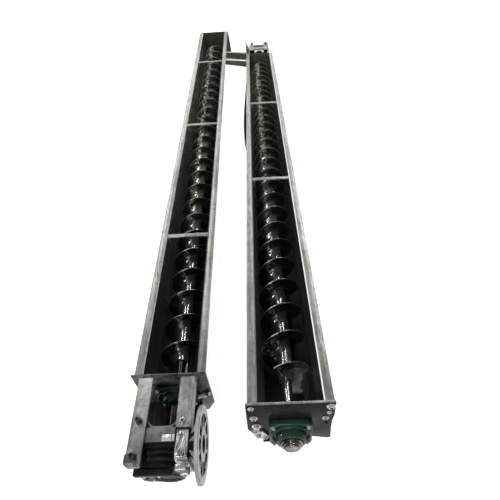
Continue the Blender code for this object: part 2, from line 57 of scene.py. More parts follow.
rightConveyor = {
    "side": "right", "at": (0.2435, -2.004, 0.76), "climb": radians(6.8),
    "width": 0.25, "flange": 0.03, "length": 3.57, "drive": "far",
    "bars": (1.235, 2.295), "stands": (0.45, 1.9, 3.25),
    "pitch": 0.129, "flights": (0.1589, 3.545), "startTurn": 0.6667,
    "bearing": 0.13, "motorZ": -0.048,
}
plateSheet = 0.008
seatGap = 0.0003
screwRatios = {"axis": -0.6, "outer": 0.334, "pipe": 0.104, "stub": 0.068}  # of the width over the rims
for spec in (leftConveyor, rightConveyor):
    spec.update({name: ratio * spec["width"] for name, ratio in screwRatios.items()})


# Places and meshes

def conveyorPlace(spec, rise=0.0):
    turn = Matrix.Rotation(-spec["climb"], 4, "X")
    return Matrix.Translation(spec["at"]) @ turn @ Matrix.Translation((0, 0, rise))


def isNear(spec, use):
    return (use == "drive") == (spec["drive"] == "near")


def endPlace(spec, use, rise=0.0):
    # y runs outwards from the outer face of the end plate
    if isNear(spec, use):
        local = Matrix.Translation((0, -plateSheet, rise)) @ Matrix.Rotation(pi, 4, "Z")
    else:
        local = Matrix.Translation((0, spec["length"] + plateSheet, rise))
    return conveyorPlace(spec) @ local


def finishPiece(bm, spec, label, finishes, place, node="", body="root", sharp=35):
    bm.transform(place)
    bmesh.ops.recalc_face_normals(bm, faces=bm.faces)
    name = spec["side"] + label
    mesh = bpy.data.meshes.new(name)
    bm.to_mesh(mesh)
    bm.free()
    for finish in finishes.split():
        mesh.materials.append(bpy.data.materials[finish])
    mesh.shade_smooth()
    mesh.set_sharp_from_angle(angle=radians(sharp))
    piece = bpy.data.objects.new(name, mesh)
    bpy.context.scene.collection.objects.link(piece)
    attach(piece, body)
    if node:
        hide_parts(f"{spec['side']}_{node}")


def joinIn(bm, part, finish=0, place=None):
    # adds a part to a piece, with one finish
    if place is not None:
        part.transform(place)
    bmesh.ops.recalc_face_normals(part, faces=part.faces)
    for face in part.faces:
        face.material_index = finish
    carrier = bpy.data.meshes.new("carrier")
    part.to_mesh(carrier)
    part.free()
    bm.from_mesh(carrier)
    bpy.data.meshes.remove(carrier)


def soften(bm, edges, width, steps=2):
    if width:
        bmesh.ops.bevel(
            bm, geom=list(edges), offset=width, offset_type="OFFSET", segments=steps, profile=0.5,
            affect="EDGES", material=-1, clamp_overlap=True)


def block(low, high, edge=0.0, steps=2):
    bm = bmesh.new()
    size = [b - a for a, b in zip(low, high)]
    middle = [(a + b) / 2 for a, b in zip(low, high)]
    bmesh.ops.create_cube(bm, size=1, matrix=Matrix.Translation(middle) @ Matrix.Diagonal((*size, 1)))
    soften(bm, bm.edges, edge, steps)
    return bm


def thicken(bm, faces, shift):
    swept = bmesh.ops.extrude_face_region(bm, geom=faces)
    tops = [v for v in swept["geom"] if isinstance(v, bmesh.types.BMVert)]
    bmesh.ops.translate(bm, verts=tops, vec=shift)
    bmesh.ops.recalc_face_normals(bm, faces=bm.faces)


def prism(outline, start, end, axis="y", edge=0.0, steps=2):
    # an outline in the other two directions, drawn out along one axis
    bm = bmesh.new()
    spots = {
        "x": lambda a, b, s: (s, a, b),
        "y": lambda a, b, s: (a, s, b),
        "z": lambda a, b, s: (a, b, s),
    }[axis]
    face = bm.faces.new([bm.verts.new(spots(a, b, start)) for a, b in outline])
    thicken(bm, [face], spots(0, 0, end - start))
    soften(bm, bm.edges, edge, steps)
    return bm


def isLevel(edge):
    return abs(edge.verts[0].co.y - edge.verts[1].co.y) < 1e-6


def cutSheet(outline, hole, start, end, edge, steps=2):
    # a sheet in the x-z plane with a round hole, given a thickness along y
    bm = bmesh.new()
    x, z, radius = hole
    ring = [(x + radius * cos(pi * n / 24), z + radius * sin(pi * n / 24)) for n in range(48)]
    for loop in (outline, ring):
        verts = [bm.verts.new((a, start, b)) for a, b in loop]
        for pair in zip(verts, verts[1:] + verts[:1]):
            bm.edges.new(pair)
    bmesh.ops.triangle_fill(bm, use_beauty=True, use_dissolve=False, edges=bm.edges)
    thicken(bm, bm.faces, (0, end - start, 0))
    corners = [e for e in bm.edges if len(e.link_faces) == 2 and e.calc_face_angle() > 0.5]
    soften(bm, [e for e in corners if isLevel(e)], edge, steps)
    return bm


def turned(profile, sides=48, size=1.0):
    # (radius, y) pairs spun round the y axis; a closed loop makes a ring
    bm = bmesh.new()
    verts = [bm.verts.new((r * size, y * size, 0)) for r, y in profile]
    pairs = list(zip(verts, verts[1:]))
    if profile[0][0] > 0 and profile[-1][0] > 0:
        pairs.append((verts[-1], verts[0]))
    edges = [bm.edges.new(pair) for pair in pairs]
    bmesh.ops.spin(
        bm, geom=verts + edges, cent=(0, 0, 0), axis=(0, 1, 0), dvec=(0, 0, 0),
        angle=2 * pi, steps=sides, use_merge=True)
    bmesh.ops.remove_doubles(bm, verts=bm.verts, dist=1e-6)
    return bm


def facing(spot, direction):
    # turns a part made along +y to a direction, at a spot
    turn = Vector((0, 1, 0)).rotation_difference(Vector(direction)).to_matrix().to_4x4()
    return Matrix.Translation(spot) @ turn


def spun(turn):
    return Matrix.Rotation(turn, 4, "Y")


def hexHead(size, thick, start):
    # six-sided head or nut along y, its corners chamfered
    bm = bmesh.new()
    radius = size / cos(pi / 6) / 2
    middle = start + thick / 2
    bmesh.ops.create_cone(
        bm, cap_ends=True, segments=6, depth=thick, radius1=radius, radius2=radius,
        matrix=Matrix.Translation((0, middle, 0)) @ Matrix.Rotation(-pi / 2, 4, "X"))
    soften(bm, [e for e in bm.edges if isLevel(e) and e.verts[0].co.y > middle], size * 0.06)
    return bm


def addBolt(bm, spot, direction, size, finish, turn=0.0, stem=0.0):
    # washer and head, or with a stem a nut with the threaded end that stands out of it
    place = facing(spot, direction) @ spun(turn)
    joinIn(bm, turned([(0, 0), (1.12, 0), (1.12, 0.14), (1.05, 0.18), (0, 0.18)], 24, size), finish, place)
    joinIn(bm, hexHead(size * 1.6, size * 0.7, size * 0.18), finish, place)
    if stem:
        y, top = 0.88, 0.88 + stem / size
        thread = [(0, 0.8)]
        while y < top - 0.1:
            thread += [(0.5, y), (0.44, y + 0.06)]
            y += 0.12
        thread += [(0.46, top - 0.06), (0.38, top), (0, top)]
        joinIn(bm, turned(thread, 20, size), finish, place)


def roundNut(bm, spot, direction, size, light, dark):
    # washer, hexagon nut and the end of the bolt inside it
    place = facing(spot, direction)
    joinIn(bm, turned([(0, 0), (1.5, 0), (1.5, 0.16), (1.4, 0.24), (0, 0.24)], 28, size), light, place)
    joinIn(bm, hexHead(size * 1.75, size * 0.62, size * 0.24), light, place)
    joinIn(bm, turned([(0, 0.8), (0.52, 0.8), (0.52, 1.02), (0.42, 1.12), (0, 1.12)], 20, size), dark, place)


def socketBolt(bm, spot, size, tall, finish):
    # upright round head with a six-sided socket, on a washer
    place = facing(spot, (0, 0, 1))
    joinIn(bm, turned([(0, 0), (1.25, 0), (1.25, 0.14), (1.15, 0.2), (0, 0.2)], 28, size), finish, place)
    head = [(0, 0.2), (1, 0.2), (1, tall - 0.16), (0.92, tall), (0.6, tall), (0.54, tall - 0.1),
            (0.54, tall - 0.55), (0, tall - 0.55)]
    joinIn(bm, turned(head, 30, size), finish, place)


def weldBead(bm, start, end, radius, finish, seed=0):
    # row of overlapping ripples between two points
    start, end = Vector(start), Vector(end)
    run = end - start
    count = max(3, int(run.length / (radius * 0.8)))
    profile = [(0, 0)]
    for step in range(count):
        swell = radius * (1 + 0.16 * noise.noise(Vector((step * 0.7, seed, 0))))
        y0, y1 = run.length * step / count, run.length * (step + 1) / count
        profile += [(swell * 0.9, y0 + 0.0001), (swell, (y0 + y1) / 2)]
    profile.append((0, run.length))
    joinIn(bm, turned(profile, 10), finish, facing(start, run.normalized()))


# Shader helpers

def newMaterial(name):
    mat = bpy.data.materials.new(name)
    mat.use_nodes = True
    return mat.node_tree, mat.node_tree.nodes["Principled BSDF"].inputs


def fill(tree, sockets, values):
    # numbers and colours are set on their sockets, the output of a node is linked
    for key, value in values.items():
        if isinstance(value, bpy.types.NodeSocket):
            tree.links.new(value, sockets[key])
        elif sockets[key].type == "RGBA":
            sockets[key].default_value = (*value, 1)
        elif value is not None:
            sockets[key].default_value = value


def addNode(tree, kind, values, **settings):
    node = tree.nodes.new("ShaderNode" + kind)
    for key, value in settings.items():
        setattr(node, key, value)
    fill(tree, node.inputs, values)
    return node.outputs


def mix(tree, factor, first, second):
    return addNode(tree, "Mix", {0: factor, 6: first, 7: second}, data_type="RGBA")[2]


def calc(tree, operation, first, second=None):
    return addNode(tree, "Math", {0: first, 1: second}, operation=operation)[0]


def times(tree, first, second):
    return calc(tree, "MULTIPLY", first, second)


def remap(tree, value, low, high, outLow=0.0, outHigh=1.0):
    return addNode(tree, "MapRange", {
        "Value": value, "From Min": low, "From Max": high, "To Min": outLow, "To Max": outHigh})["Result"]


def axes(tree, vector):
    return addNode(tree, "SeparateXYZ", {"Vector": vector})


def cloud(tree, vector, scale, detail=4.0, rough=0.55, distortion=0.0):
    return addNode(tree, "TexNoise", {
        "Vector": vector, "Scale": scale, "Detail": detail, "Roughness": rough, "Distortion": distortion})["Fac"]


def objectSpace(tree):
    return addNode(tree, "TexCoord", {})["Object"]


def shade(colour, part):
    return tuple(min(1, channel * part) for channel in colour)


def makeGroup(name, inputs, outputs):
    tree = bpy.data.node_groups.new(name, "ShaderNodeTree")
    for way, labels in (("INPUT", inputs), ("OUTPUT", outputs)):
        for label in labels:
            kind = "NodeSocketVector" if label == "Vector" else "NodeSocketFloat"
            tree.interface.new_socket(label, in_out=way, socket_type=kind)
    return tree, tree.nodes.new("NodeGroupInput").outputs, tree.nodes.new("NodeGroupOutput").inputs


def useGroup(tree, group, *values):
    return addNode(tree, "Group", dict(enumerate(values)), node_tree=group)


def streakGroup():
    # grinding streaks along y, broad cloudy stains and small specks
    tree, inner, out = makeGroup(
        "streaksAndStains", ["Vector", "Streak Scale", "Stain Scale"], ["Streaks", "Stains", "Specks"])
    space = inner["Vector"]
    long = addNode(tree, "Mapping", {"Vector": space, "Scale": (1.0, 0.06, 1.0)})["Vector"]
    streak = cloud(tree, long, inner["Streak Scale"], 6.0, 0.65)
    stain = cloud(tree, space, inner["Stain Scale"], 7.0, 0.62, 0.6)
    speck = cloud(tree, space, 95.0, 3.0, 0.6)
    fill(tree, out, {"Streaks": remap(tree, streak, 0.32, 0.68), "Stains": remap(tree, stain, 0.34, 0.66),
                     "Specks": remap(tree, speck, 0.64, 0.74)})
    return tree


def scratchGroup():
    # thin crossing scratches
    tree, inner, out = makeGroup("thinScratches", ["Vector", "Scale"], ["Mask"])
    mask = 0.0
    for turn, squeeze in ((0.5, 0.05), (1.9, 0.07), (2.6, 0.04)):
        space = addNode(tree, "Mapping", {
            "Vector": inner["Vector"], "Rotation": (turn * 0.3, turn * 0.2, turn),
            "Scale": (1.0, squeeze, 1.0)})["Vector"]
        line = addNode(tree, "TexVoronoi", {"Vector": space, "Scale": inner["Scale"]}, feature="DISTANCE_TO_EDGE")
        thin = remap(tree, line["Distance"], 0.0, 0.012, 1.0, 0.0)
        where = remap(tree, cloud(tree, space, 5.0 + turn, 2.0), 0.55, 0.65)
        mask = calc(tree, "MAXIMUM", mask, times(tree, thin, where))
    fill(tree, out, {"Mask": mask})
    return tree


streaks = streakGroup()
scratches = scratchGroup()


def setShader(tree, shader, colour, rough, metallic, shine, height, bump, deep=0.0004):
    # shine is the specular level, deep the height of the bump in metres
    normal = addNode(tree, "Bump", {"Strength": bump, "Distance": deep, "Height": height})["Normal"]
    fill(tree, shader, {"Base Color": colour, "Roughness": rough, "Metallic": metallic,
                        "Specular IOR Level": shine, "Normal": normal})


def groundSteel(name, light, dark, stain, metallic, scales, rough, stained, bump=0.15, mottle=0.0, shine=0.5):
    # ground or milled steel with streaks, stains, specks and scratches
    tree, shader = newMaterial(name)
    space = objectSpace(tree)
    streak, stains, specks = useGroup(tree, streaks, space, *scales)
    cuts = useGroup(tree, scratches, space, 10.0)["Mask"]
    colour = mix(tree, times(tree, stains, stained), mix(tree, streak, dark, light), stain)
    if mottle:
        patches = remap(tree, cloud(tree, space, 38.0, 5.0, 0.7), 0.52, 0.62, 0.0, mottle)
        colour = mix(tree, patches, colour, shade(dark, 0.6))
    colour = mix(tree, times(tree, specks, 0.6), colour, shade(dark, 0.35))
    colour = mix(tree, times(tree, cuts, 0.5), colour, shade(light, 1.5))
    height = calc(tree, "ADD", streak, times(tree, cuts, -1.5))
    setShader(tree, shader, colour, remap(tree, streak, 0.0, 1.0, *rough), metallic, shine, height, bump)


def paintedCasting(name, paint, worn, bare, rough, wear, shine=0.5, metallic=0.0, grain=0.5):
    # painted cast metal: orange-peel grain, dirt in clouds, paint worn through in spots
    tree, shader = newMaterial(name)
    space = objectSpace(tree)
    stains = useGroup(tree, streaks, space, 35.0, 14.0)["Stains"]
    spots = times(tree, remap(tree, cloud(tree, space, 45.0, 6.0, 0.7), 0.66, 0.7), wear)
    colour = mix(tree, spots, mix(tree, stains, paint, worn), bare)
    peel = cloud(tree, space, 260.0, 4.0, 0.6)
    setShader(tree, shader, colour, remap(tree, stains, 0.0, 1.0, *rough), metallic, shine, peel, grain, 0.0006)


def localSpace(tree, spec):
    # the conveyor's own coordinates, so that a pattern follows its climb
    return addNode(tree, "Mapping", {
        "Vector": objectSpace(tree), "Location": conveyorPlace(spec).inverted().translation,
        "Rotation": (spec["climb"], 0, 0)})["Vector"]


def screwFinish(spec):
    # dark steel, rubbed bright near the pipe and at the outer edge, with rings of fine scratches
    tree, shader = newMaterial(spec["side"] + "ScrewSteel")
    space = localSpace(tree, spec)
    width, pipe, outer = spec["width"], spec["pipe"], spec["outer"]
    x, y, z = axes(tree, space)
    high = calc(tree, "SUBTRACT", z, spec["axis"])
    radius = calc(tree, "SQRT", calc(tree, "ADD", times(tree, x, x), times(tree, high, high)))
    around = addNode(tree, "CombineXYZ", {"X": radius, "Y": times(tree, y, 0.08)})["Vector"]
    rings = remap(tree, cloud(tree, around, 260.0, 5.0, 0.7), 0.36, 0.66)
    streak, stains = useGroup(tree, streaks, space, 26.0, 11.0)[:2]
    cuts = useGroup(tree, scratches, space, 16.0)["Mask"]
    far = remap(tree, y, 0.7, 2.6, 0.0, 0.75)
    # dark stains, and further away a colour broken into pale and dark chips
    colour = mix(tree, rings, (0.022, 0.022, 0.019), (0.082, 0.082, 0.074))
    colour = mix(tree, times(tree, stains, 0.75), colour, (0.02, 0.02, 0.014))
    chips = remap(tree, cloud(tree, space, 52.0, 6.0, 0.75), 0.47, 0.6)
    colour = mix(tree, far, colour, mix(tree, chips, (0.016, 0.017, 0.012), (0.17, 0.17, 0.135)))
    # painted glints: a row of bright spots left of the axis, on the far flights
    glintBand = times(tree, remap(tree, x, -0.19 * width, -0.13 * width),
                 remap(tree, x, -0.07 * width, -0.01 * width, 1.0, 0.0))
    spots = remap(tree, cloud(tree, space, 46.0, 4.0, 0.6, 1.5), 0.48, 0.54)
    colour = mix(tree, times(tree, times(tree, glintBand, spots), remap(tree, far, 0.0, 0.4)), colour, (1.0, 1.0, 0.9))
    # painted shade: the right side of the first flight darkened nearly to black and made rough, on the conveyor
    # whose tail is near
    shaded = 1.0 if spec["drive"] == "far" else 0.0
    dark = times(tree, remap(tree, y, 0.22, 0.3, 0.97, 0.0), remap(tree, x, 0.0, 0.02, 0.0, shaded))
    colour = mix(tree, dark, colour, (0.012, 0.012, 0.011))
    # rubbed steel near the pipe and along the outer edge, paler further away
    inner = remap(tree, radius, pipe * 1.05, pipe * 1.75, 1.0, 0.0)
    worn = times(tree, remap(tree, radius, outer * 0.9, outer * 0.985), remap(tree, far, 0.0, 0.75, 0.55, 0.95))
    rub = calc(tree, "MAXIMUM", times(tree, inner, 0.85), worn)
    rub = times(tree, rub, remap(tree, stains, 0.0, 1.0, 1.0, 0.35))
    colour = mix(tree, rub, colour, mix(tree, far, (0.34, 0.34, 0.31), (0.62, 0.62, 0.56)))
    colour = mix(tree, times(tree, cuts, 0.4), colour, (0.36, 0.36, 0.34))
    # shallow dents in the flights and ground rings over them
    deep = remap(tree, radius, pipe * 1.02, pipe * 1.5, 1.2, 7.0)
    dents = times(tree, cloud(tree, space, 24.0, 2.0, 0.5, 0.8), deep)
    height = calc(tree, "ADD", rings, times(tree, streak, 0.7))
    height = calc(tree, "ADD", dents, times(tree, height, 0.04))
    rough = mix(tree, dark, remap(tree, stains, 0.0, 1.0, 0.055, 0.17), (0.62, 0.62, 0.62))
    setShader(tree, shader, colour, rough, remap(tree, far, 0.0, 0.75, 0.9, 0.55), 0.5, height, 1.0, 0.001)


def spoutFinish(name, spec):
    # painted shade: black inside; a patch of painted light, pinkish grey, on the upper right of its far wall
    tree, shader = newMaterial(name)
    space = localSpace(tree, spec)
    streak, stains = useGroup(tree, streaks, space, 30.0, 16.0)[:2]
    place = axes(tree, space)
    across = calc(tree, "ADD", place["X"], times(tree, calc(tree, "SUBTRACT", stains, 0.5), 0.012))
    paintedLightPatch = times(tree, remap(tree, across, 0.022, 0.03), remap(tree, across, 0.06, 0.067, 1.0, 0.16))
    paintedLightPatch = times(tree, paintedLightPatch, remap(tree, place["Z"], -0.385, -0.36))
    # painted shade: near-black inside
    dark = mix(tree, streak, (0.0035, 0.0035, 0.0035), (0.012, 0.011, 0.01))
    litPatchColour = mix(tree, stains, (0.72, 0.68, 0.62), (0.34, 0.25, 0.235))
    setShader(tree, shader, mix(tree, paintedLightPatch, dark, litPatchColour), remap(tree, stains, 0.0, 1.0, 0.7, 0.9), 0.0, 0.02,
              streak, 0.15)


def chuteFinish(name, light, shadedBeyondY=9.0, metallic=0.6, shine=0.5, depth=1.0):
    # dark olive sheet; painted light on its upturned faces, as bright as "light", stopping at the lip; depth below 1
    # darkens the olive as painted shade
    tree, shader = newMaterial(name)
    space = objectSpace(tree)
    streak, stains = useGroup(tree, streaks, space, 50.0, 8.0)[:2]
    top = remap(tree, axes(tree, addNode(tree, "NewGeometry", {})["Normal"])["Z"], 0.8, 0.9)
    top = times(tree, top, remap(tree, axes(tree, space)["Y"], shadedBeyondY, shadedBeyondY + 0.002, 1.0, 0.0))
    # depth below 1 darkens the olive, painted shade
    low, middle, high = (shade(colour, depth) for colour in (
        (0.034, 0.035, 0.022), (0.085, 0.085, 0.062), (0.13, 0.13, 0.105)))
    dull = mix(tree, times(tree, streak, 0.3), mix(tree, stains, low, middle), high)
    paintedLitTop = mix(tree, streak, shade(light, 0.58), light)
    setShader(tree, shader, mix(tree, top, dull, paintedLitTop), remap(tree, streak, 0.0, 1.0, 0.28, 0.48), metallic, shine,
              streak, 0.2)


def troughFinish(spec, leftEdgeGroundAndSheen, rightEdgeGroundAndSheen, palerFrom, metallic, shine):
    # dark glossy trough with streaks, stains and scratches; ground steel along its top edges, one edge given a
    # brighter tone as a painted highlight; painted light on the left inner wall; paler and speckled further along
    tree, shader = newMaterial(spec["side"] + "TroughSteel")
    space = localSpace(tree, spec)
    streak, stains, specks = useGroup(tree, streaks, space, 40.0, 3.5)
    cuts = useGroup(tree, scratches, space, 9.0)["Mask"]
    x, y, z = axes(tree, space)
    colour = mix(tree, stains, (0.014, 0.014, 0.013), (0.034, 0.033, 0.028))
    colour = mix(tree, times(tree, streak, 0.4), colour, (0.05, 0.05, 0.045))
    colour = mix(tree, times(tree, cuts, 0.3), colour, (0.14, 0.14, 0.13))
    # paler and speckled further along the trough, from the given start on
    far = remap(tree, y, palerFrom, palerFrom + 1.8, 0.0, 0.9)
    palerFar = mix(tree, stains, (0.036, 0.037, 0.029), (0.085, 0.084, 0.066))
    colour = mix(tree, far, colour, mix(tree, specks, palerFar, (0.16, 0.16, 0.13)))
    # painted light: the left inner wall lighter than the rest of the trough
    paintedLitWall = mix(tree, stains, (0.048, 0.05, 0.044), (0.105, 0.108, 0.094))
    colour = mix(tree, remap(tree, x, -0.088, -0.074, 0.75, 0.0), colour, paintedLitWall)
    # painted highlight: the top edge is ground steel, one side given a brighter tone than the other
    groundAndSheen = mix(tree, remap(tree, x, -0.01, 0.01), (leftEdgeGroundAndSheen,) * 3, (rightEdgeGroundAndSheen,) * 3)
    groundAndSheen = mix(tree, times(tree, streak, 0.4), groundAndSheen, (0.2, 0.21, 0.195))
    colour = mix(tree, remap(tree, z, -0.0012, -0.0006), colour, groundAndSheen)
    setShader(tree, shader, colour, remap(tree, streak, 0.0, 1.0, 0.14, 0.26),
              remap(tree, far, 0.0, 0.9, metallic, 0.15), shine, streak, 0.12)


steelLooks = {
    # light, dark and stain colours, metallic, streak and stain scales, roughness from and to,
    # how much stain, then bump, mottle and specular level where they differ
    "rimSteel": ((0.36, 0.38, 0.35), (0.17, 0.182, 0.168), (0.11, 0.12, 0.105), 0.85, (70, 4), (0.3, 0.5),
                 0.65, 0.15, 0.55),
    "farPlateSteel": ((0.07, 0.071, 0.06), (0.022, 0.023, 0.018), (0.045, 0.045, 0.034), 0.05, (40, 18),
                      (0.4, 0.6), 0.7, 0.12, 0.6, 0.05),
    "railSteel": ((0.46, 0.48, 0.45), (0.11, 0.115, 0.105), (0.05, 0.054, 0.048), 0.85, (30, 11), (0.26, 0.44),
                  0.75, 0.2, 0.5),
    "barSteel": ((0.3, 0.31, 0.29), (0.13, 0.135, 0.125), (0.085, 0.085, 0.075), 0.7, (90, 30), (0.3, 0.48),
                 0.7, 0.3),
    "shelfSteel": ((0.075, 0.075, 0.07), (0.026, 0.026, 0.024), (0.3, 0.31, 0.29), 0.6, (45, 15), (0.28, 0.46),
                   0.35, 0.3),
    "plateSteel": ((0.02, 0.02, 0.017), (0.005, 0.005, 0.004), (0.012, 0.007, 0.006), 0.08, (30, 7),
                   (0.2, 0.36), 0.8, 0.12, 0.7, 0.04),
    "mottledPlate": ((0.17, 0.165, 0.15), (0.03, 0.029, 0.026), (0.018, 0.015, 0.012), 0.4, (34, 26),
                     (0.2, 0.36), 0.9, 0.2, 0.7, 0.1),
    "paleSteel": ((0.85, 0.85, 0.81), (0.55, 0.55, 0.52), (0.2, 0.19, 0.175), 0.15, (120, 60), (0.25, 0.45), 0.5),
    "brightSteel": ((0.8, 0.8, 0.76), (0.46, 0.46, 0.43), (0.13, 0.125, 0.115), 0.7, (120, 60), (0.22, 0.4), 0.6),
    "standSteel": ((0.075, 0.075, 0.071), (0.04, 0.04, 0.038), (0.055, 0.042, 0.032), 0.5, (25, 8), (0.42, 0.6),
                   0.6, 0.25),
    "screwEdge": ((0.24, 0.24, 0.22), (0.105, 0.105, 0.094), (0.05, 0.048, 0.038), 0.9, (30, 12), (0.24, 0.4), 0.8),
    # painted shade: a near-black copy of shaft steel for the left shaft, which lies in shade between the rails
    "shaftSteel": ((0.034, 0.034, 0.032), (0.012, 0.012, 0.011), (0.03, 0.027, 0.023), 0.95, (30, 14),
                   (0.12, 0.22), 0.35),
    "stubSteel": ((0.62, 0.62, 0.58), (0.24, 0.24, 0.22), (0.06, 0.055, 0.045), 0.95, (30, 14), (0.14, 0.24), 0.5),
    "collarSteel": ((0.42, 0.38, 0.345), (0.06, 0.05, 0.043), (0.035, 0.027, 0.022), 0.95, (60, 34),
                    (0.08, 0.22), 0.85),
    "machinedAluminium": ((0.66, 0.69, 0.67), (0.36, 0.38, 0.37), (0.13, 0.135, 0.13), 0.85, (60, 22),
                          (0.24, 0.4), 0.8),
    "flangeEdge": ((0.34, 0.355, 0.34), (0.24, 0.25, 0.24), (0.15, 0.155, 0.15), 0.3, (60, 22), (0.5, 0.65), 0.6),
    "flangeFace": ((0.52, 0.55, 0.53), (0.18, 0.19, 0.185), (0.02, 0.02, 0.02), 0.8, (60, 34), (0.24, 0.4),
                   0.95, 0.3, 0.8),
    "zincBolt": ((0.62, 0.62, 0.58), (0.3, 0.3, 0.28), (0.1, 0.095, 0.085), 0.9, (120, 60), (0.2, 0.36), 0.7),
    "darkBolt": ((0.06, 0.06, 0.057), (0.018, 0.018, 0.017), (0.012, 0.011, 0.01), 0.8, (120, 60),
                 (0.26, 0.42), 0.6),
    "weldSteel": ((0.26, 0.26, 0.245), (0.1, 0.1, 0.093), (0.06, 0.05, 0.042), 0.8, (140, 50), (0.28, 0.46), 0.6),
}
castingLooks = {
    # paint, dirty paint and bare metal, roughness from and to, wear, specular level
    "bearingGreen": ((0.01, 0.044, 0.022), (0.004, 0.018, 0.01), (0.1, 0.1, 0.088), (0.26, 0.46), 0.2, 0.35),
    # painted shade: a darker copy of the bearing green
    "bearingShade": ((0.002, 0.013, 0.0085), (0.0015, 0.007, 0.005), (0.05, 0.05, 0.045), (0.26, 0.46), 0.2, 0.2),
    "gearboxBlack": ((0.006, 0.006, 0.006), (0.014, 0.0135, 0.013), (0.16, 0.16, 0.15), (0.26, 0.5), 0.3, 0.06),
    "stripBlack": ((0.004, 0.004, 0.004), (0.01, 0.01, 0.009), (0.03, 0.03, 0.028), (0.6, 0.8), 0.3, 0.0),
    "castAluminium": ((0.56, 0.585, 0.56), (0.3, 0.315, 0.305), (0.09, 0.09, 0.085), (0.3, 0.48), 0.6,
                      0.5, 0.75, 0.6),
}
for name, look in steelLooks.items():
    groundSteel(name, *look)
for name, look in castingLooks.items():
    paintedCasting(name, *look)
screwFinish(leftConveyor)
screwFinish(rightConveyor)
# top edge tones: the right trough's right edge is much brighter, a painted highlight
troughFinish(leftConveyor, 0.1, 0.16, 0.0, 0.45, 0.15)
troughFinish(rightConveyor, 0.12, 0.85, 1.2, 0.1, 0.05)
spoutFinish("spoutSteel", rightConveyor)
# chute faces with painted light on their tops; the far wall and the gusset get darker copies as painted shade, and
# the far wall's painted light stops at its lip
chuteFinish("chuteLitTopSteel", (0.52, 0.54, 0.51))
chuteFinish("farChuteShadedSteel", (0.34, 0.35, 0.32), 1.528, 0.1, 0.1)
chuteFinish("gussetShadedSteel", (0.026, 0.028, 0.011), 1.8, 0.0, 0.0, 0.16)
print("materials made")


# Screws

def fromAxis(face):
    centre = face.calc_center_median()
    return (centre.x ** 2 + centre.z ** 2) ** 0.5


def makeFlight(spec):
    # pressed steel ribbon with a weld fillet along the pipe and a worn outer edge
    size = {"sheet": 0.004, "weld": 0.004, "worn": 0.0012, "steps": 48}
    first, last = spec["flights"]
    side, pipe, outer = spec["side"], spec["pipe"], spec["outer"]
    worn, sheet, weld, middle = size["worn"], size["sheet"], size["weld"], (pipe + outer) / 2
    profile = [
        (pipe - 0.001, -weld), (pipe + weld, 0), (middle, 0), (outer - worn, 0), (outer, worn),
        (outer, sheet - worn), (outer - worn, sheet), (middle, sheet), (pipe + weld, sheet),
        (pipe - 0.001, sheet + weld)]
    twelfths = round((last - first) / spec["pitch"] * 12)  # the ribbon ends on a twelfth of a turn
    steps = twelfths * size["steps"] // 12
    bm = bmesh.new()
    face = bm.faces.new([bm.verts.new((r, first + y, 0)) for r, y in profile])
    bmesh.ops.rotate(
        bm, verts=bm.verts, cent=(0, 0, 0), matrix=Matrix.Rotation(2 * pi * spec["startTurn"], 3, "Y"))
    bmesh.ops.spin(
        bm, geom=[face, *face.edges, *face.verts], cent=(0, 0, 0), axis=(0, 1, 0),
        dvec=(0, (last - first) / steps, 0), angle=2 * pi * twelfths / 12, steps=steps)
    for face in bm.faces:
        if fromAxis(face) > outer - worn * 0.9:
            face.material_index = 1
    finishPiece(bm, spec, "Flight", side + "ScrewSteel screwEdge", conveyorPlace(spec, spec["axis"]),
                "flight", side + "_screw", 30)


def makeShaft(spec):
    # pipe with turned ends, weld rings and a centre drilled in each end
    size = {"tail": 0.062, "gearFar": 0.32, "short": 0.03, "chamfer": 0.0015, "drill": 0.004}
    side, pipe, stub, (first, last) = spec["side"], spec["pipe"], spec["stub"], spec["flights"]
    tail = plateSheet + size["tail"]
    drive = plateSheet + size["gearFar"] * driveScale(spec) - size["short"]
    near, far = (drive, tail) if spec["drive"] == "near" else (tail, drive)
    start, stop = -near, spec["length"] + far
    pipeFrom, pipeTo = first - 0.005, min(last + 0.005, spec["length"] - 0.012)
    chamfer, drill = size["chamfer"], size["drill"]
    profile = [
        (0, start + drill), (drill, start), (stub - chamfer, start), (stub, start + chamfer),
        (stub, pipeFrom - 0.002), (stub + 0.003, pipeFrom + 0.0005), (pipe - 0.003, pipeFrom + 0.0005),
        (pipe, pipeFrom + 0.003), (pipe, pipeTo - 0.003), (pipe - 0.003, pipeTo - 0.0005),
        (stub + 0.003, pipeTo - 0.0005), (stub, pipeTo + 0.002), (stub, stop - chamfer),
        (stub - chamfer, stop), (drill, stop), (0, stop - drill)]
    bm = turned(profile, 64)
    for face in bm.faces:
        y = face.calc_center_median().y
        face.material_index = 1 if pipeFrom < y < pipeTo else 2 if y < -plateSheet else 0
    finishes = {"left": "shaftSteel leftScrewSteel shaftSteel", "right": "stubSteel rightScrewSteel collarSteel"}
    finishPiece(bm, spec, "Shaft", finishes[side], conveyorPlace(spec, spec["axis"]), "shaft",
                side + "_screw", 30)


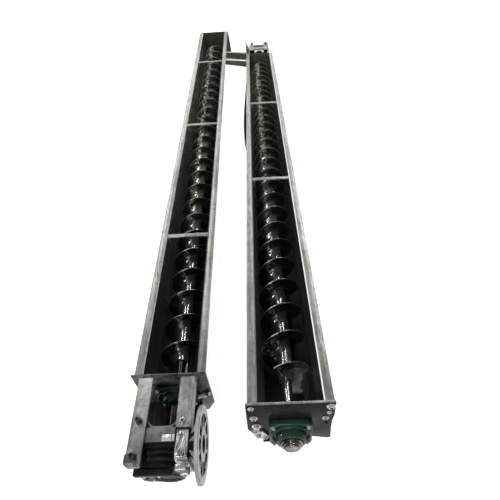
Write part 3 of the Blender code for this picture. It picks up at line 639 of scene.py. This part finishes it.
def makeShaftCollar(spec):
    # eccentric locking collar and inner rings on the tail end, turning with the shaft
    radii = {"collar": 0.0345, "step": 0.028, "ring": 0.0225}  # on a conveyor 250 mm wide
    start, mid, stop, end = 0.0445, 0.0505, 0.057, 0.0612  # along the shaft
    collar, step, ring = (radius * spec["width"] / 0.25 for radius in radii.values())
    inner = spec["stub"] + 0.0002
    bm = bmesh.new()
    joinIn(bm, turned([(inner, start), (collar - 0.001, start), (collar, start + 0.001), (collar, mid - 0.0012),
                       (collar - 0.0012, mid), (inner, mid)]))
    joinIn(bm, turned([(inner, mid), (step * 0.93, mid), (step * 0.93, mid + 0.0012), (step, mid + 0.0018),
                       (step, stop - 0.0012), (step - 0.0012, stop), (inner, stop)]))
    joinIn(bm, turned([(inner, stop), (ring * 0.94, stop), (ring * 0.94, stop + 0.001), (ring, stop + 0.0014),
                       (ring, end - 0.001), (ring - 0.001, end), (inner, end)]))
    for turn in (0.9, 2.9):
        screw = turned([(0, 0), (0.004, 0), (0.004, 0.0012), (0.002, 0.0016), (0.0016, 0.0004), (0, 0.0004)], 12)
        spot = (collar * cos(turn), (start + mid) / 2, collar * sin(turn))
        joinIn(bm, screw, 1, facing(spot, (cos(turn), 0, sin(turn))))
    finishPiece(bm, spec, "ShaftCollar", "collarSteel darkBolt", endPlace(spec, "tail", spec["axis"]),
                "", spec["side"] + "_screw")


# Bearings

def makeBearing(spec, use):
    # square flanged cast housing: four bolts, ribs to a round boss, seal, grease nipple
    side, stub = spec["bearing"] / 2, spec["stub"]
    size = {"base": 0.018, "boss": 0.026, "corner": 0.22, "bolt": 0.0056}
    corner, base, big = side * size["corner"], size["base"], side / 0.065
    reach, top, inner = side - corner * 0.95, seatGap + base + size["boss"], stub + 0.0125 * big
    outline = [
        (side, -side + corner), (side, side - corner), (side - corner, side), (-side + corner, side),
        (-side, side - corner), (-side, -side + corner), (-side + corner, -side), (side - corner, -side)]
    bm = bmesh.new()
    joinIn(bm, cutSheet(outline, (0, 0, 0.056 * big), seatGap, seatGap + base, 0.0028, 3))
    low = seatGap + base * 0.3
    housing = [(inner, low), *((r * big, y) for r, y in (
        (0.061, low), (0.061, base + 0.006), (0.06, base + 0.0078), (0.058, base + 0.008),
        (0.0566, base + 0.0066), (0.0552, base + 0.0012), (0.053, base - 0.003), (0.049, base - 0.0045),
        (0.0458, base - 0.0015), (0.0445, base + 0.007), (0.0436, top - 0.006), (0.0428, top - 0.0015),
        (0.0405, top), (0.036, top), (0.0345, top - 0.002))), (inner, top - 0.0035)]
    joinIn(bm, turned(housing, 64))
    joinIn(bm, turned([
        (stub + 0.0003, top - 0.012), (inner, top - 0.012), (inner, top - 0.003), (inner - 0.002, top - 0.0015),
        (stub + 0.0025, top - 0.0015), (stub + 0.0003, top - 0.003)]), 2)
    for a, b in ((1, 1), (-1, 1), (-1, -1), (1, -1)):
        pad = turned([(0, base - 0.002), (0.0095 * big, base - 0.002), (0.009 * big, base + 0.0015),
                      (0, base + 0.0015)], 24)
        joinIn(bm, pad, 0, Matrix.Translation((a * reach, 0, b * reach)))
        addBolt(bm, (a * reach, base + 0.0015, b * reach), (0, 1, 0), size["bolt"] * big, 1,
                0.4 + a * 0.3 + b * 0.7, 0.003)
        rib = block((-0.003 * big, base - 0.001, 0), (0.003 * big, base + 0.0045, 0.016 * big), 0.001)
        joinIn(bm, rib, 0, spun(atan2(a, b)) @ Matrix.Translation((0, 0, 0.059 * big)))
    nipple = [(0, 0), (0.0035, 0), (0.0035, 0.003), (0.0018, 0.004), (0.0022, 0.008), (0.0012, 0.01), (0, 0.01)]
    joinIn(bm, turned(nipple, 12), 3, facing((0.03 * big, base + 0.012, 0.03 * big), (0.6, 0.35, 0.7)))
    # painted shade: the left drive bearing gets a darker copy of the green paint
    paint = "bearingShade" if (spec["side"], use) == ("left", "drive") else "bearingGreen"
    finishPiece(bm, spec, use.capitalize() + "Bearing", paint + " zincBolt darkBolt collarSteel",
                endPlace(spec, use, spec["axis"]), use + "_bearing")


# Drives

driveShape = {
    # at the left conveyor's size, from the axis or outwards from the end plate
    "inner": 0.055, "outer": 0.11, "sheet": 0.007, "top": 0.036, "back": 0.217, "shelf": 0.045, "gearFar": 0.32,
    "gearLow": 0.056, "gearWide": 0.104, "gearStep": 0.06, "corner": 0.02, "hub": 0.052, "hubOut": 0.012,
    "adapter": 0.102, "adapterLow": -0.15, "adapterTop": 0.03, "motorY": 0.262, "disc": 0.132,
    "discFace": 0.153, "discBack": 0.14, "cone": 0.04, "bore": 0.014,
}


def driveScale(spec):
    return spec["width"] / leftConveyor["width"]


def driveSizes(spec):
    scale = driveScale(spec)
    return {name: value * scale for name, value in driveShape.items()}, scale


def scaledRows(scale, rows):
    return [[value * scale for value in row] for row in rows]


def makeGearbox(spec):
    # cast worm gearbox: stepped crown between the rails, round cover with a hollow output shaft
    d, k = driveSizes(spec)
    axis, stub = spec["axis"], spec["stub"]
    side, start, stop = d["inner"] - seatGap, d["back"] + seatGap, d["gearFar"]
    low, front = axis - d["gearLow"], stop + 0.01 * k
    step, cut, wide = -d["gearStep"], d["corner"], d["gearWide"]
    bm = bmesh.new()
    crown = [(start, 0.2625 * k, d["top"] - (d["sheet"] + seatGap) * 2, 0)]
    crown += scaledRows(k, (
        (0.262, 0.272, 0.008, 0.012), (0.2715, 0.283, -0.008, 0.015), (0.2825, 0.29, 0, 0.02),
        (0.2895, 0.301, -0.022, 0.02), (0.3005, 0.308, -0.012, 0.024), (0.3075, 0.324, -0.04, 0.026)))
    half = side * 0.985
    for y0, y1, top, drop in crown:
        arch = [(half * t, top - drop * abs(t) ** 2.2) for t in (n / 8 - 1 for n in range(17))]
        joinIn(bm, prism([(-half, low), *arch, (half, low)], y0, y1, "y", 0.0016 * k))
    lower = [(-side, low + cut), (-side + cut, low), (wide - cut, low), (wide, low + cut),
             (wide, step - cut * 0.4), (wide - cut * 0.4, step), (-side, step)]
    joinIn(bm, prism(lower, start, front, "y", 0.003 * k, 3))
    shoulder = [(-side * 0.7, -0.088 * k), (wide, -0.088 * k), (wide + 0.002 * k, -0.06 * k),
                (-side * 0.6, -0.06 * k)]
    joinIn(bm, prism(shoulder, front - 0.012 * k, 0.349 * k, "y", 0.004 * k))
    hub, bore, place = d["hub"], stub + 0.007 * k, Matrix.Translation((0, 0, axis))
    cover = [
        (bore, stop - 0.02 * k), (hub * 1.1, stop - 0.02 * k), (hub * 1.1, front + 0.0015 * k),
        (hub * 1.07, front + 0.003 * k), (hub * 0.95, front + 0.003 * k), (hub * 0.92, front - 0.001 * k),
        (hub * 0.8, front - 0.001 * k), (hub * 0.78, front + 0.002 * k), (hub * 0.66, front + 0.002 * k),
        (hub * 0.63, stop - 0.004 * k), (bore, stop - 0.004 * k)]
    joinIn(bm, turned(cover, 64), 0, place)
    inner, end = stub + 0.0012, stop + d["hubOut"]
    joinIn(bm, turned([
        (inner, stop - 0.06 * k), (stub + 0.0065 * k, stop - 0.06 * k), (stub + 0.0065 * k, end - 0.0045 * k),
        (stub + 0.005 * k, end - 0.003 * k), (inner, end - 0.003 * k)]), 2, place)
    for number in range(8):
        turn = 2 * pi * (number + 0.5) / 8
        x, z = hub * 1.24 * cos(turn), axis + hub * 1.24 * sin(turn)
        if -side + 0.008 * k < x < wide - 0.01 * k and low + 0.006 * k < z < step - 0.03 * k:
            addBolt(bm, (x, front - 0.0005 * k, z), (0, 1, 0), 0.0048 * k, 3, turn)
    for x, z in ((-side * 0.62, -0.2), (wide * 0.82, -0.12), (wide * 0.82, -0.185)):
        addBolt(bm, (x, front - 0.0005 * k, z * k), (0, 1, 0), 0.0055 * k, 1, x * 90)
    for x in (0.1, 0.62):
        addBolt(bm, (wide * x, 0.349 * k, -0.074 * k), (0, 1, 0), 0.005 * k, 3, x * 90)
    plug = turned([(0, 0), (0.009, 0), (0.009, 0.003), (0.006, 0.0035), (0.006, 0.008), (0, 0.008)], 20, k)
    joinIn(bm, plug, 1, facing((wide - 0.03 * k, start + 0.045 * k, step), (0, 0, 1)))
    rib = [(start + 0.01 * k, step - 0.03 * k), (start + 0.01 * k, step + 0.001),
           (start + 0.016 * k, step + 0.001), (start + 0.016 * k, step - 0.03 * k)]
    joinIn(bm, prism(rib, side + 0.004 * k, wide - cut * 1.1, "x", 0.001))
    finishPiece(bm, spec, "Gearbox", "gearboxBlack darkBolt shaftSteel brightSteel", endPlace(spec, "drive"),
                "gearbox")


def makeMotorAdapter(spec):
    # pale casting beside the gearbox: shell with webs across its top, a round boss and bolts
    d, k = driveSizes(spec)
    low, top, near, far = d["adapterLow"], d["adapterTop"], d["back"] + seatGap * 2, d["gearFar"]
    left, right, cut = -d["adapter"], -d["inner"], d["corner"]
    floor = top - 0.012 * k
    bm = bmesh.new()
    outline = [(near, low), (near, floor), (far - cut, floor), (far - cut * 0.35, floor - cut * 0.5),
               (far, floor - cut * 1.3), (far, low)]
    joinIn(bm, prism(outline, left, right, "x", 0.003 * k, 3))
    for face in bm.faces:
        if face.normal.x < -0.6:
            face.material_index = 3
    joinIn(bm, block((left + 0.003 * k, 0.329 * k, -0.02 * k), (right - 0.003 * k, 0.348 * k, 0.001 * k),
                     0.003 * k), 1)
    joinIn(bm, block((left - 0.004 * k, 0.33 * k, -0.052 * k), (left + 0.03 * k, 0.356 * k, -0.03 * k),
                     0.004 * k), 1)
    for spot in scaledRows(k, ((-0.076, 0.348, -0.01), (-0.094, 0.348, -0.01), (-0.09, 0.356, -0.041))):
        roundNut(bm, spot, (0, 1, 0), 0.0056 * k, 4, 2)
    for x0, y0, x1, y1, wide in (
            (-0.07, 0.254, -0.059, 0.29, 1.0), (-0.07, 0.254, -0.06, 0.221, 0.7),
            (-0.0765, 0.226, -0.07, 0.254, 1.2), (-0.086, 0.248, -0.0975, 0.312, 1.2),
            (-0.086, 0.248, -0.0765, 0.226, 0.8), (-0.0975, 0.312, -0.059, 0.314, 0.6)):
        run, half = Vector((x1 - x0, y1 - y0, 0)) * k, 0.0045 * k * 0.5 * wide
        web = block((-half, 0, floor - 0.004 * k), (half, run.length, top - 0.001 * k), 0.0012 * k)
        joinIn(bm, web, 1, facing((x0 * k, y0 * k, 0), run.normalized()))
    boss = turned([(0, floor - 0.004 * k), (0.0135 * k, floor - 0.004 * k), (0.013 * k, top - 0.005 * k),
                   (0.0115 * k, top - 0.003 * k), (0.0085 * k, top - 0.003 * k), (0.008 * k, floor + 0.001),
                   (0.0035 * k, floor + 0.001), (0.003 * k, floor + 0.003), (0, floor + 0.003)], 32)
    joinIn(bm, boss, 1, Matrix.Translation((-0.079 * k, 0.297 * k, 0)) @ Matrix.Rotation(pi / 2, 4, "X"))
    for z in (-0.04, -0.085, -0.13):
        joinIn(bm, block((left + 0.004 * k, far - 0.004 * k, (z - 0.0025) * k),
                         (right - 0.004 * k, far + 0.003 * k, (z + 0.0025) * k), 0.001 * k))
    for y in (near + 0.014 * k, far - 0.02 * k):
        for z in (-0.02, -0.13):
            addBolt(bm, (left, y, z * k), (-1, 0, 0), 0.006 * k, 2, y * 60)
    finishPiece(bm, spec, "MotorAdapter", "castAluminium machinedAluminium darkBolt gearboxBlack brightSteel",
                endPlace(spec, "drive"), "motor_adapter")


def makeMotorFlange(spec):
    # round motor flange: turned face with a recess and ribs, bolt holes, webs behind
    d, k = driveSizes(spec)
    face, back, seat = d["discFace"], d["discBack"], d["adapter"] + seatGap
    disc, cone, bore, deep = d["disc"], d["cone"], d["bore"], d["discFace"] - 0.011 * k
    bm = turned([
        (bore, seat), (cone, seat), (cone * 1.05, seat + 0.006 * k), (cone * 1.5, back), (disc - 0.001, back),
        (disc, back + 0.001), (disc, face - 0.0015), (disc - 0.0015, face), (disc * 0.79, face),
        (disc * 0.775, face - 0.002 * k), (disc * 0.765, deep), (disc * 0.46, deep), (disc * 0.45, face - 0.002 * k),
        (disc * 0.435, face), (disc * 0.25, face), (disc * 0.24, face - 0.002 * k), (disc * 0.23, face - 0.02 * k),
        (bore, face - 0.02 * k)], 72)
    for side in bm.faces:
        if side.calc_center_median().y > face - 0.0015:
            side.material_index = 3
        elif fromAxis(side) > disc - 0.0012:
            side.material_index = 4
    for number in range(10):
        rib = block((-0.0055 * k, deep - 0.001, disc * 0.45), (0.0055 * k, face - 0.0015 * k, disc * 0.775), 0.001)
        joinIn(bm, rib, 3, spun(2 * pi * number / 10))
    for number in range(8):
        turn, radius = 2 * pi * (number + 0.5) / 8, disc * 0.86
        spot = Matrix.Translation((radius * cos(turn), face - 0.0005 * k, radius * sin(turn)))
        ring = [(0.005, -0.002), (0.0105, -0.002), (0.0105, 0.0006), (0.0095, 0.001), (0.0052, 0.001)]
        joinIn(bm, turned(ring, 20, k), 1, spot)
        hole = [(0, -0.0015), (0.007, -0.0015), (0.007, 0.0009), (0, 0.0009)]
        joinIn(bm, turned(hole, 20, k), 2, spot)
        web = prism([(cone, seat + 0.004 * k), (disc * 0.8, back + 0.001), (cone, back + 0.001)],
                    -0.003 * k, 0.003 * k, "z", 0.001 * k)
        joinIn(bm, web, 4, spun(2 * pi * number / 8))
    place = endPlace(spec, "drive") @ Matrix.Translation((0, d["motorY"], spec["motorZ"]))
    behind = "flangeEdge" if spec["side"] == "right" else "gearboxBlack"
    finishPiece(bm, spec, "MotorFlange", behind + " machinedAluminium darkBolt flangeFace flangeEdge",
                place @ Matrix.Rotation(pi / 2, 4, "Z"), "motor_flange")


driveBolts = {
    # x, y outwards from the end plate, z and size; tall is a socket head's height as a part of its size
    "left": {"socket": ((0.082, 0.193, 0.036, 0.0098), (0.082, 0.3146, 0.036, 0.0105)),
             "nut": ((-0.078, 0.194, 0.036, 0.0092),), "tall": 2.6},
    "right": {"socket": ((0.069, 0.196, 0.031, 0.009), (-0.067, 0.244, 0.0259, 0.01)),
              "nut": ((0.069, 0.15, 0.031, 0.0062), (-0.069, 0.15, 0.031, 0.0062)), "tall": 1.5},
}


def makeDriveBolts(spec):
    # bolts through the rails, with a clamp block and tag (left) or a bar and a U-shaped guard (right)
    sheet, rows = driveSizes(spec)[0]["sheet"], driveBolts[spec["side"]]
    bm = bmesh.new()
    for x, y, z, size in rows["socket"]:
        socketBolt(bm, (x, y, z), size, rows["tall"], 1)
        if x > 0:
            roundNut(bm, (x, y, z - sheet), (0, 0, -1), size * 0.66, 1, 1)
    for x, y, z, size in rows["nut"]:
        roundNut(bm, (x, y, z), (0, 0, 1), size, 0, 1)
        roundNut(bm, (x, y, z - sheet), (0, 0, -1), size * 0.8, 1, 1)
    if spec["side"] == "left":
        joinIn(bm, block((0.062, 0.296, -0.02), (0.118, 0.338, 0.0372), 0.011, 3), 2)
        joinIn(bm, block((-0.053, 0.239, 0.0288), (-0.007, 0.2615, 0.0303), 0.0006), 3)
    else:
        joinIn(bm, block((-0.047, 0.098, 0.012), (0.047, 0.116, 0.026), 0.0015), 3)
        guard = [(0.046, 0.007), (0.046, 0.085), (-0.046, 0.085), (-0.046, 0.007), (-0.026, 0.007)]
        guard += [(-0.026 * cos(pi * n / 12), 0.035 + 0.026 * sin(pi * n / 12)) for n in range(13)]
        joinIn(bm, prism([*guard, (0.026, 0.007)], 0.006, 0.011, "z", 0.0012), 3)
    finishPiece(bm, spec, "RailBolts", "zincBolt darkBolt standSteel brightSteel", endPlace(spec, "drive"))


def makeGuardStrip(spec):
    # light strip bent to a shallow U between the rails, in front of the bracket
    size = {"reach": 0.054, "back": 0.209, "ends": 0.19, "thick": 0.003, "low": 0.012, "high": 0.0215}
    k, steps = driveScale(spec), 24
    outer, inner = [], []
    for n in range(steps + 1):
        t = -1 + 2 * n / steps
        x, y = size["reach"] * t, size["back"] - (size["back"] - size["ends"]) * abs(t) ** 6
        outer.append((x * k, y * k))
        inner.append((x * k * 0.955, (y - size["thick"]) * k))
    strip = prism(outer + inner[::-1], size["low"] * k, size["high"] * k, "z", 0.0005, 1)
    finishPiece(strip, spec, "GuardStrip", "barSteel", endPlace(spec, "drive"))


def makeBracket(spec):
    # plate hung under the rails, open round the shaft, with a shelf above and below it a dark sheet as painted shade
    d, k = driveSizes(spec)
    axis, back, sheet, half = spec["axis"], d["back"], d["sheet"], 0.044 * k
    reach, under, low = d["outer"] - sheet - seatGap, d["top"] - sheet - seatGap, axis - 0.095 * k
    outline = [(reach, under), (reach, -0.04 * k), (d["inner"], low), (-d["inner"], low), (-reach, -0.04 * k),
               (-reach, under), (-half, under)]
    outline += [(-half * cos(pi * n / 16), axis - half * sin(pi * n / 16)) for n in range(17)]
    outline += [(half, under)]
    bm = bmesh.new()
    joinIn(bm, prism(outline, back - sheet, back, "y", 0.0008))
    side = d["inner"] - seatGap * 2
    joinIn(bm, block((-side, back - sheet * 0.9, under - sheet), (side, back + d["shelf"], under), 0.001), 1)
    # painted shade: a dark sheet under the shaft stands in for the shade below the drive
    shadeSheetReach = min(0.16 * k, spec["width"] / 2 + 0.004)
    joinIn(bm, block((-0.095 * k, seatGap, low), (shadeSheetReach, back - sheet * 0.1, low + 0.004), 0.0008))
    for x in (-side * 0.8, side * 0.55):
        y, z = back - 0.0005, under - sheet - 0.0012
        weldBead(bm, (x, y, z), (x + side * 0.25, y, z), 0.0022 * k, 2, x)
    finishPiece(bm, spec, "DriveBracket", "plateSteel shelfSteel weldSteel", endPlace(spec, "drive"),
                "drive_bracket")


for conveyor in (leftConveyor, rightConveyor):
    makeFlight(conveyor)
    makeShaft(conveyor)
    makeShaftCollar(conveyor)
    makeBearing(conveyor, "tail")
    makeBearing(conveyor, "drive")
    makeGearbox(conveyor)
    makeMotorAdapter(conveyor)
    makeMotorFlange(conveyor)
    makeDriveBolts(conveyor)
    makeGuardStrip(conveyor)
    makeBracket(conveyor)
print("screws, bearings and drives made")


# Plates, rims and bars

plateShapes = {
    # outlines in the conveyor's own x and z, from the left top corner
    "left_drive": [(-0.16, 0), (-0.16, -0.29), (-0.124, -0.37), (0.11, -0.37), (0.146, -0.29), (0.146, 0)],
    "left_tail": [(-0.146, 0), (-0.146, -0.205), (-0.11, -0.285), (0.11, -0.285), (0.146, -0.205), (0.146, 0)],
    "right_tail": [(-0.13, 0), (-0.1305, -0.146), (-0.119, -0.163), (-0.107, -0.187), (-0.088, -0.1975),
                   (0.076, -0.206), (0.118, -0.218), (0.1265, -0.213), (0.124, -0.15), (0.1245, -0.106),
                   (0.129, -0.07), (0.1285, 0)],
    "right_drive": [(-0.128, 0), (-0.128, -0.193), (-0.078, -0.243), (0.118, -0.243), (0.128, -0.233), (0.128, 0)],
}
plateFinishes = {"left_drive": "mottledPlate mottledPlate", "right_tail": "plateSteel barSteel"}


def makeEndPlate(spec, use):
    # end plate with a paler top edge and a hole for the shaft
    key = f"{spec['side']}_{use}"
    start = -plateSheet if isNear(spec, use) else spec["length"]
    hole = (0, spec["axis"], spec["stub"] + 0.006)
    bm = cutSheet(plateShapes[key], hole, start, start + plateSheet, 0.0009)
    for face in bm.faces:
        if face.normal.z > 0.5:
            face.material_index = 1
    finishPiece(bm, spec, use.capitalize() + "EndPlate", plateFinishes.get(key, "farPlateSteel barSteel"),
                conveyorPlace(spec), use + "_end_plate")


def makeRims(spec):
    # rim angles with rubbed round edges, as wide as their CAD nodes
    half = spec["width"] / 2
    for side, sign in (("left", -1), ("right", 1)):
        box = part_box(f"{spec['side']}_rim_{side}")
        start = half - abs(box[1][0] - box[0][0])
        outline = [(start, -0.03), (start + 0.004, -0.03), (start + 0.004, -0.004), (half, -0.004), (half, 0),
                   (start, 0)]
        rim = prism([(sign * x, z) for x, z in outline], seatGap, spec["length"] - seatGap, "y", 0.0007)
        finishPiece(rim, spec, side.capitalize() + "Rim", "rimSteel", conveyorPlace(spec), "rim_" + side)


def makeCrossbars(spec):
    # flat bars welded between the walls, each with a small lug down its left wall
    reach, half = spec["width"] / 2 - spec["flange"] - 0.0008, 0.0125
    for number, at in enumerate(spec["bars"], 1):
        bm = bmesh.new()
        joinIn(bm, block((-reach, at - half, -0.006), (reach, at + half, 0), 0.001))
        joinIn(bm, block((-reach + 0.004, at - half - 0.0035, -0.034), (-reach + 0.014, at - 0.011, -0.003), 0.001))
        for sign in (-1, 1):
            for y in (at - half, at + half):
                weldBead(bm, (sign * (reach - 0.0005), y, -0.0045), (sign * (reach - 0.016), y, -0.0045), 0.0016, 1,
                         number + y)
        finishPiece(bm, spec, f"Crossbar{number}", "barSteel weldSteel", conveyorPlace(spec),
                    f"crossbar_{number}")


# Bolts and welds

def makePlateBolts(spec):
    # nuts on the right conveyor's tail plate, and the lug over its cut corner
    bm = bmesh.new()
    for x, y, z, size, light, dark in (
            (0.1145, 0, -0.02, 0.0062, 0, 1), (0.109, 0, -0.076, 0.008, 0, 1),
            (0.103, 0, -0.125, 0.0095, 0, 0), (-0.115, 0, -0.02, 0.0088, 0, 1),
            (-0.112, 0, -0.054, 0.005, 0, 0), (-0.103, 0, -0.086, 0.0066, 0, 1),
            (-0.108, 0, -0.12, 0.0045, 1, 1), (0.106, 0, -0.15, 0.007, 0, 1),
            (0.099, 0.0062, -0.174, 0.0085, 0, 0), (0.078, 0.0062, -0.189, 0.0056, 0, 1)):
        roundNut(bm, (x, y, z), (0, 1, 0), size, light, dark)
    joinIn(bm, prism([(0.118, -0.16), (0.084, -0.152), (0.066, -0.184), (0.074, -0.2), (0.106, -0.194)],
                     0.0002, 0.0062, "y", 0.0014))
    finishPiece(bm, spec, "TailPlateBolts", "brightSteel darkBolt", endPlace(spec, "tail"))


def makeClampBolt(spec):
    # long bolt lying across the left drive plate, in a lug that is welded to the plate
    size = {"from": (-0.058, 0.0105, -0.217), "to": (-0.141, 0.0105, -0.169), "radius": 0.0078}
    start, radius = Vector(size["from"]), size["radius"]
    run = Vector(size["to"]) - start
    along, long = run.normalized(), run.length
    bm = bmesh.new()
    rod = turned([(0, 0), (radius - 0.001, 0), (radius, 0.001), (radius, long - 0.001), (radius - 0.001, long),
                  (0, long)], 24)
    joinIn(bm, rod, 0, facing(start, along))
    joinIn(bm, hexHead(0.02, 0.01, 0), 2, facing(start - along * 0.006, along))
    joinIn(bm, hexHead(0.019, 0.009, 0), 0, facing(start + run * 0.62, along))
    lug = block((-0.003, -0.0103, -0.0105), (0.003, 0.0085, 0.0105), 0.0012)
    joinIn(bm, lug, 1, Matrix.Translation(start + run * 0.9) @ spun(0.52))
    under = Vector((0, -0.009, -0.012))
    weldBead(bm, start + run * 0.2 + under, start + run * 0.95 + under, 0.0022, 3, 3)
    finishPiece(bm, spec, "ClampBolt", "paleSteel plateSteel darkBolt weldSteel", endPlace(spec, "drive"))


def makeSideStrip(spec):
    # dark flat strip, bowed out a little, fixed under the edge of the left rim
    size = {"from": 1.6, "to": 2.8, "bow": 0.0155, "low": -0.022, "high": -0.0043, "steps": 30}
    half = spec["width"] / 2
    outer, inner = [], []
    for n in range(size["steps"] + 1):
        t = n / size["steps"]
        y = size["from"] + (size["to"] - size["from"]) * t
        swell = size["bow"] * (sin(pi * t ** 0.62) ** 1.2 if 0 < t < 1 else 0)
        outer.append((-half - 0.0012 - swell, y))
        inner.append((-half + 0.0016, y))
    strip = prism(outer + inner[::-1], size["low"], size["high"], "z")
    finishPiece(strip, spec, "SideStrip", "stripBlack", conveyorPlace(spec))


def makeStandBolts(spec):
    # anchor bolts and weld beads on the feet
    size = {"reach": 0.27, "inset": 0.03, "top": 0.008, "bolt": 0.004, "apart": 0.0255, "post": 0.02}
    for number, along in enumerate(spec["stands"], 1):
        y = spec["at"][1] + along
        bm = bmesh.new()
        for sign in (-1, 1):
            x = spec["at"][0] + sign * (size["reach"] * spec["width"] - size["inset"])
            for step in (-1, 1):
                roundNut(bm, (x, y + step * size["apart"], size["top"]), (0, 0, 1), size["bolt"], 0, 1)
            for step in (-1, 1):
                post, edge = x + sign * 0.01, y + step * size["post"]
                weldBead(bm, (post - 0.02, edge, 0.0085), (post + 0.019, edge, 0.0085), 0.0018, 2, number + step)
        finishPiece(bm, spec, f"StandBolts{number}", "zincBolt darkBolt weldSteel", Matrix.Identity(4))


def makeOutletBolts(spec):
    # nuts round the flange of the outlet spout
    size = {"trough": 0.355, "spout": 0.22, "bolt": 0.0032}
    half = 0.85 * size["trough"] * spec["width"] + 0.011
    low = spec["axis"] - size["trough"] * spec["width"] - size["spout"]
    bm = bmesh.new()
    for x, y in ((-half, 0.1025), (0, 0.1005), (half, 0.1025), (-half, 0.175), (half, 0.175), (-half, 0.2475),
                 (0, 0.2495), (half, 0.2475)):
        roundNut(bm, (x, y, low), (0, 0, 1), size["bolt"], 0, 1)
    finishPiece(bm, spec, "OutletBolts", "zincBolt darkBolt", conveyorPlace(spec))


for conveyor in (leftConveyor, rightConveyor):
    makeEndPlate(conveyor, "tail")
    makeEndPlate(conveyor, "drive")
    makeRims(conveyor)
    makeCrossbars(conveyor)
    makeStandBolts(conveyor)
makePlateBolts(rightConveyor)
makeClampBolt(leftConveyor)
makeOutletBolts(rightConveyor)
makeSideStrip(rightConveyor)
print("plates, rims, bars and bolts made")


# Finishes of the solids that stay

slotFinish = {
    "trough_steel": "leftTroughSteel", "rim_steel": "rimSteel", "plate_steel": "plateSteel",
    "stand_steel": "standSteel", "screw_steel": "shaftSteel", "bearing_paint": "bearingGreen",
    "gearbox_black": "gearboxBlack", "cast_aluminium": "castAluminium"}
nodeFinish = {
    "right_trough": "rightTroughSteel", "right_outlet_spout": "spoutSteel", "chute_gusset": "gussetShadedSteel",
    "chute_floor": "chuteLitTopSteel", "chute_near_wall": "chuteLitTopSteel", "chute_far_wall": "farChuteShadedSteel"}
for row in frame["record"]["subparts"]:
    node = row["node"]
    finish = "railSteel" if "_rail_" in node else nodeFinish.get(node, slotFinish[row["material_slot"]])
    slots = frame["nodes"][node].data.materials
    slots.clear()
    slots.append(bpy.data.materials[finish])
print("solids finished")


# Stage

def makeFloor():
    tree, shader = newMaterial("paleFloor")
    patches = remap(tree, cloud(tree, objectSpace(tree), 1.3, 5.0, 0.6), 0.3, 0.7)
    fill(tree, shader, {"Base Color": mix(tree, patches, (0.3, 0.3, 0.295), (0.34, 0.34, 0.335)),
                        "Roughness": 0.8, "Emission Color": (1, 1, 1), "Emission Strength": 0.92})
    bm = bmesh.new()
    bmesh.ops.create_grid(bm, x_segments=8, y_segments=8, size=30, matrix=Matrix.Translation((0, 0, -0.0005)))
    mesh = bpy.data.meshes.new("floor")
    bm.to_mesh(mesh)
    bm.free()
    mesh.materials.append(bpy.data.materials["paleFloor"])
    floor = bpy.data.objects.new("floor", mesh)
    bpy.context.scene.collection.objects.link(floor)


def makeLight(name, spot, aim, size, power):
    light = bpy.data.lights.new(name, "AREA")
    light.shape = "RECTANGLE"
    light.size, light.size_y = size
    light.energy = power
    lamp = bpy.data.objects.new(name, light)
    lamp.location = spot
    lamp.rotation_euler = (Vector(aim) - Vector(spot)).to_track_quat("-Z", "Y").to_euler()
    bpy.context.scene.collection.objects.link(lamp)


def greys(tree, value, stops):
    ramp = tree.nodes.new("ShaderNodeValToRGB")
    elements = ramp.color_ramp.elements
    for index, (spot, grey) in enumerate(stops):
        element = elements[index] if index < 2 else elements.new(spot)
        element.position = spot
        element.color = (grey, grey, grey, 1)
    tree.links.new(value, ramp.inputs["Fac"])
    return ramp.outputs["Color"]


def makeStudio():
    # sky dim behind the camera and bright along the far horizon, two long tubes for the glints, a window
    world = bpy.data.worlds.new("studio")
    bpy.context.scene.world = world
    world.use_nodes = True
    tree = world.node_tree
    way = axes(tree, addNode(tree, "TexCoord", {})["Generated"])
    rise = remap(tree, way["Z"], -0.05, 1.0)
    behind = greys(tree, rise, [(0.0, 0.22), (0.3, 0.28), (0.7, 0.34), (1.0, 0.36)])
    ahead = greys(tree, rise, [(0.0, 0.95), (0.35, 1.1), (0.6, 0.7), (0.85, 0.38)])
    sky = mix(tree, remap(tree, way["Y"], -0.6, 0.9), behind, ahead)
    fill(tree, tree.nodes["Background"].inputs, {"Color": sky, "Strength": 1.0})
    makeLight("longTubeLeft", (-1.6, 7.0, 3.6), (-1.6, 7.0, 0), (0.1, 15.0), 290)
    makeLight("longTubeRight", (1.5, 7.0, 3.6), (1.5, 7.0, 0), (0.1, 15.0), 290)
    makeLight("windowBehind", (-1.3, -5.2, 5.4), (-0.2, 0.6, 0.3), (1.5, 4.2), 280)
    bpy.context.scene.view_settings.view_transform = "Standard"


def makeCamera():
    camera = bpy.data.cameras.new("photoCamera")
    camera.lens = 28.8
    camera.sensor_width = 36
    view = bpy.data.objects.new("photoCamera", camera)
    view.location = (0.187, -2.4564, 1.89)
    view.rotation_euler = (radians(42.657), radians(3.3), radians(-0.816))
    bpy.context.scene.collection.objects.link(view)
    bpy.context.scene.camera = view


makeFloor()
makeStudio()
makeCamera()
print("stage set")
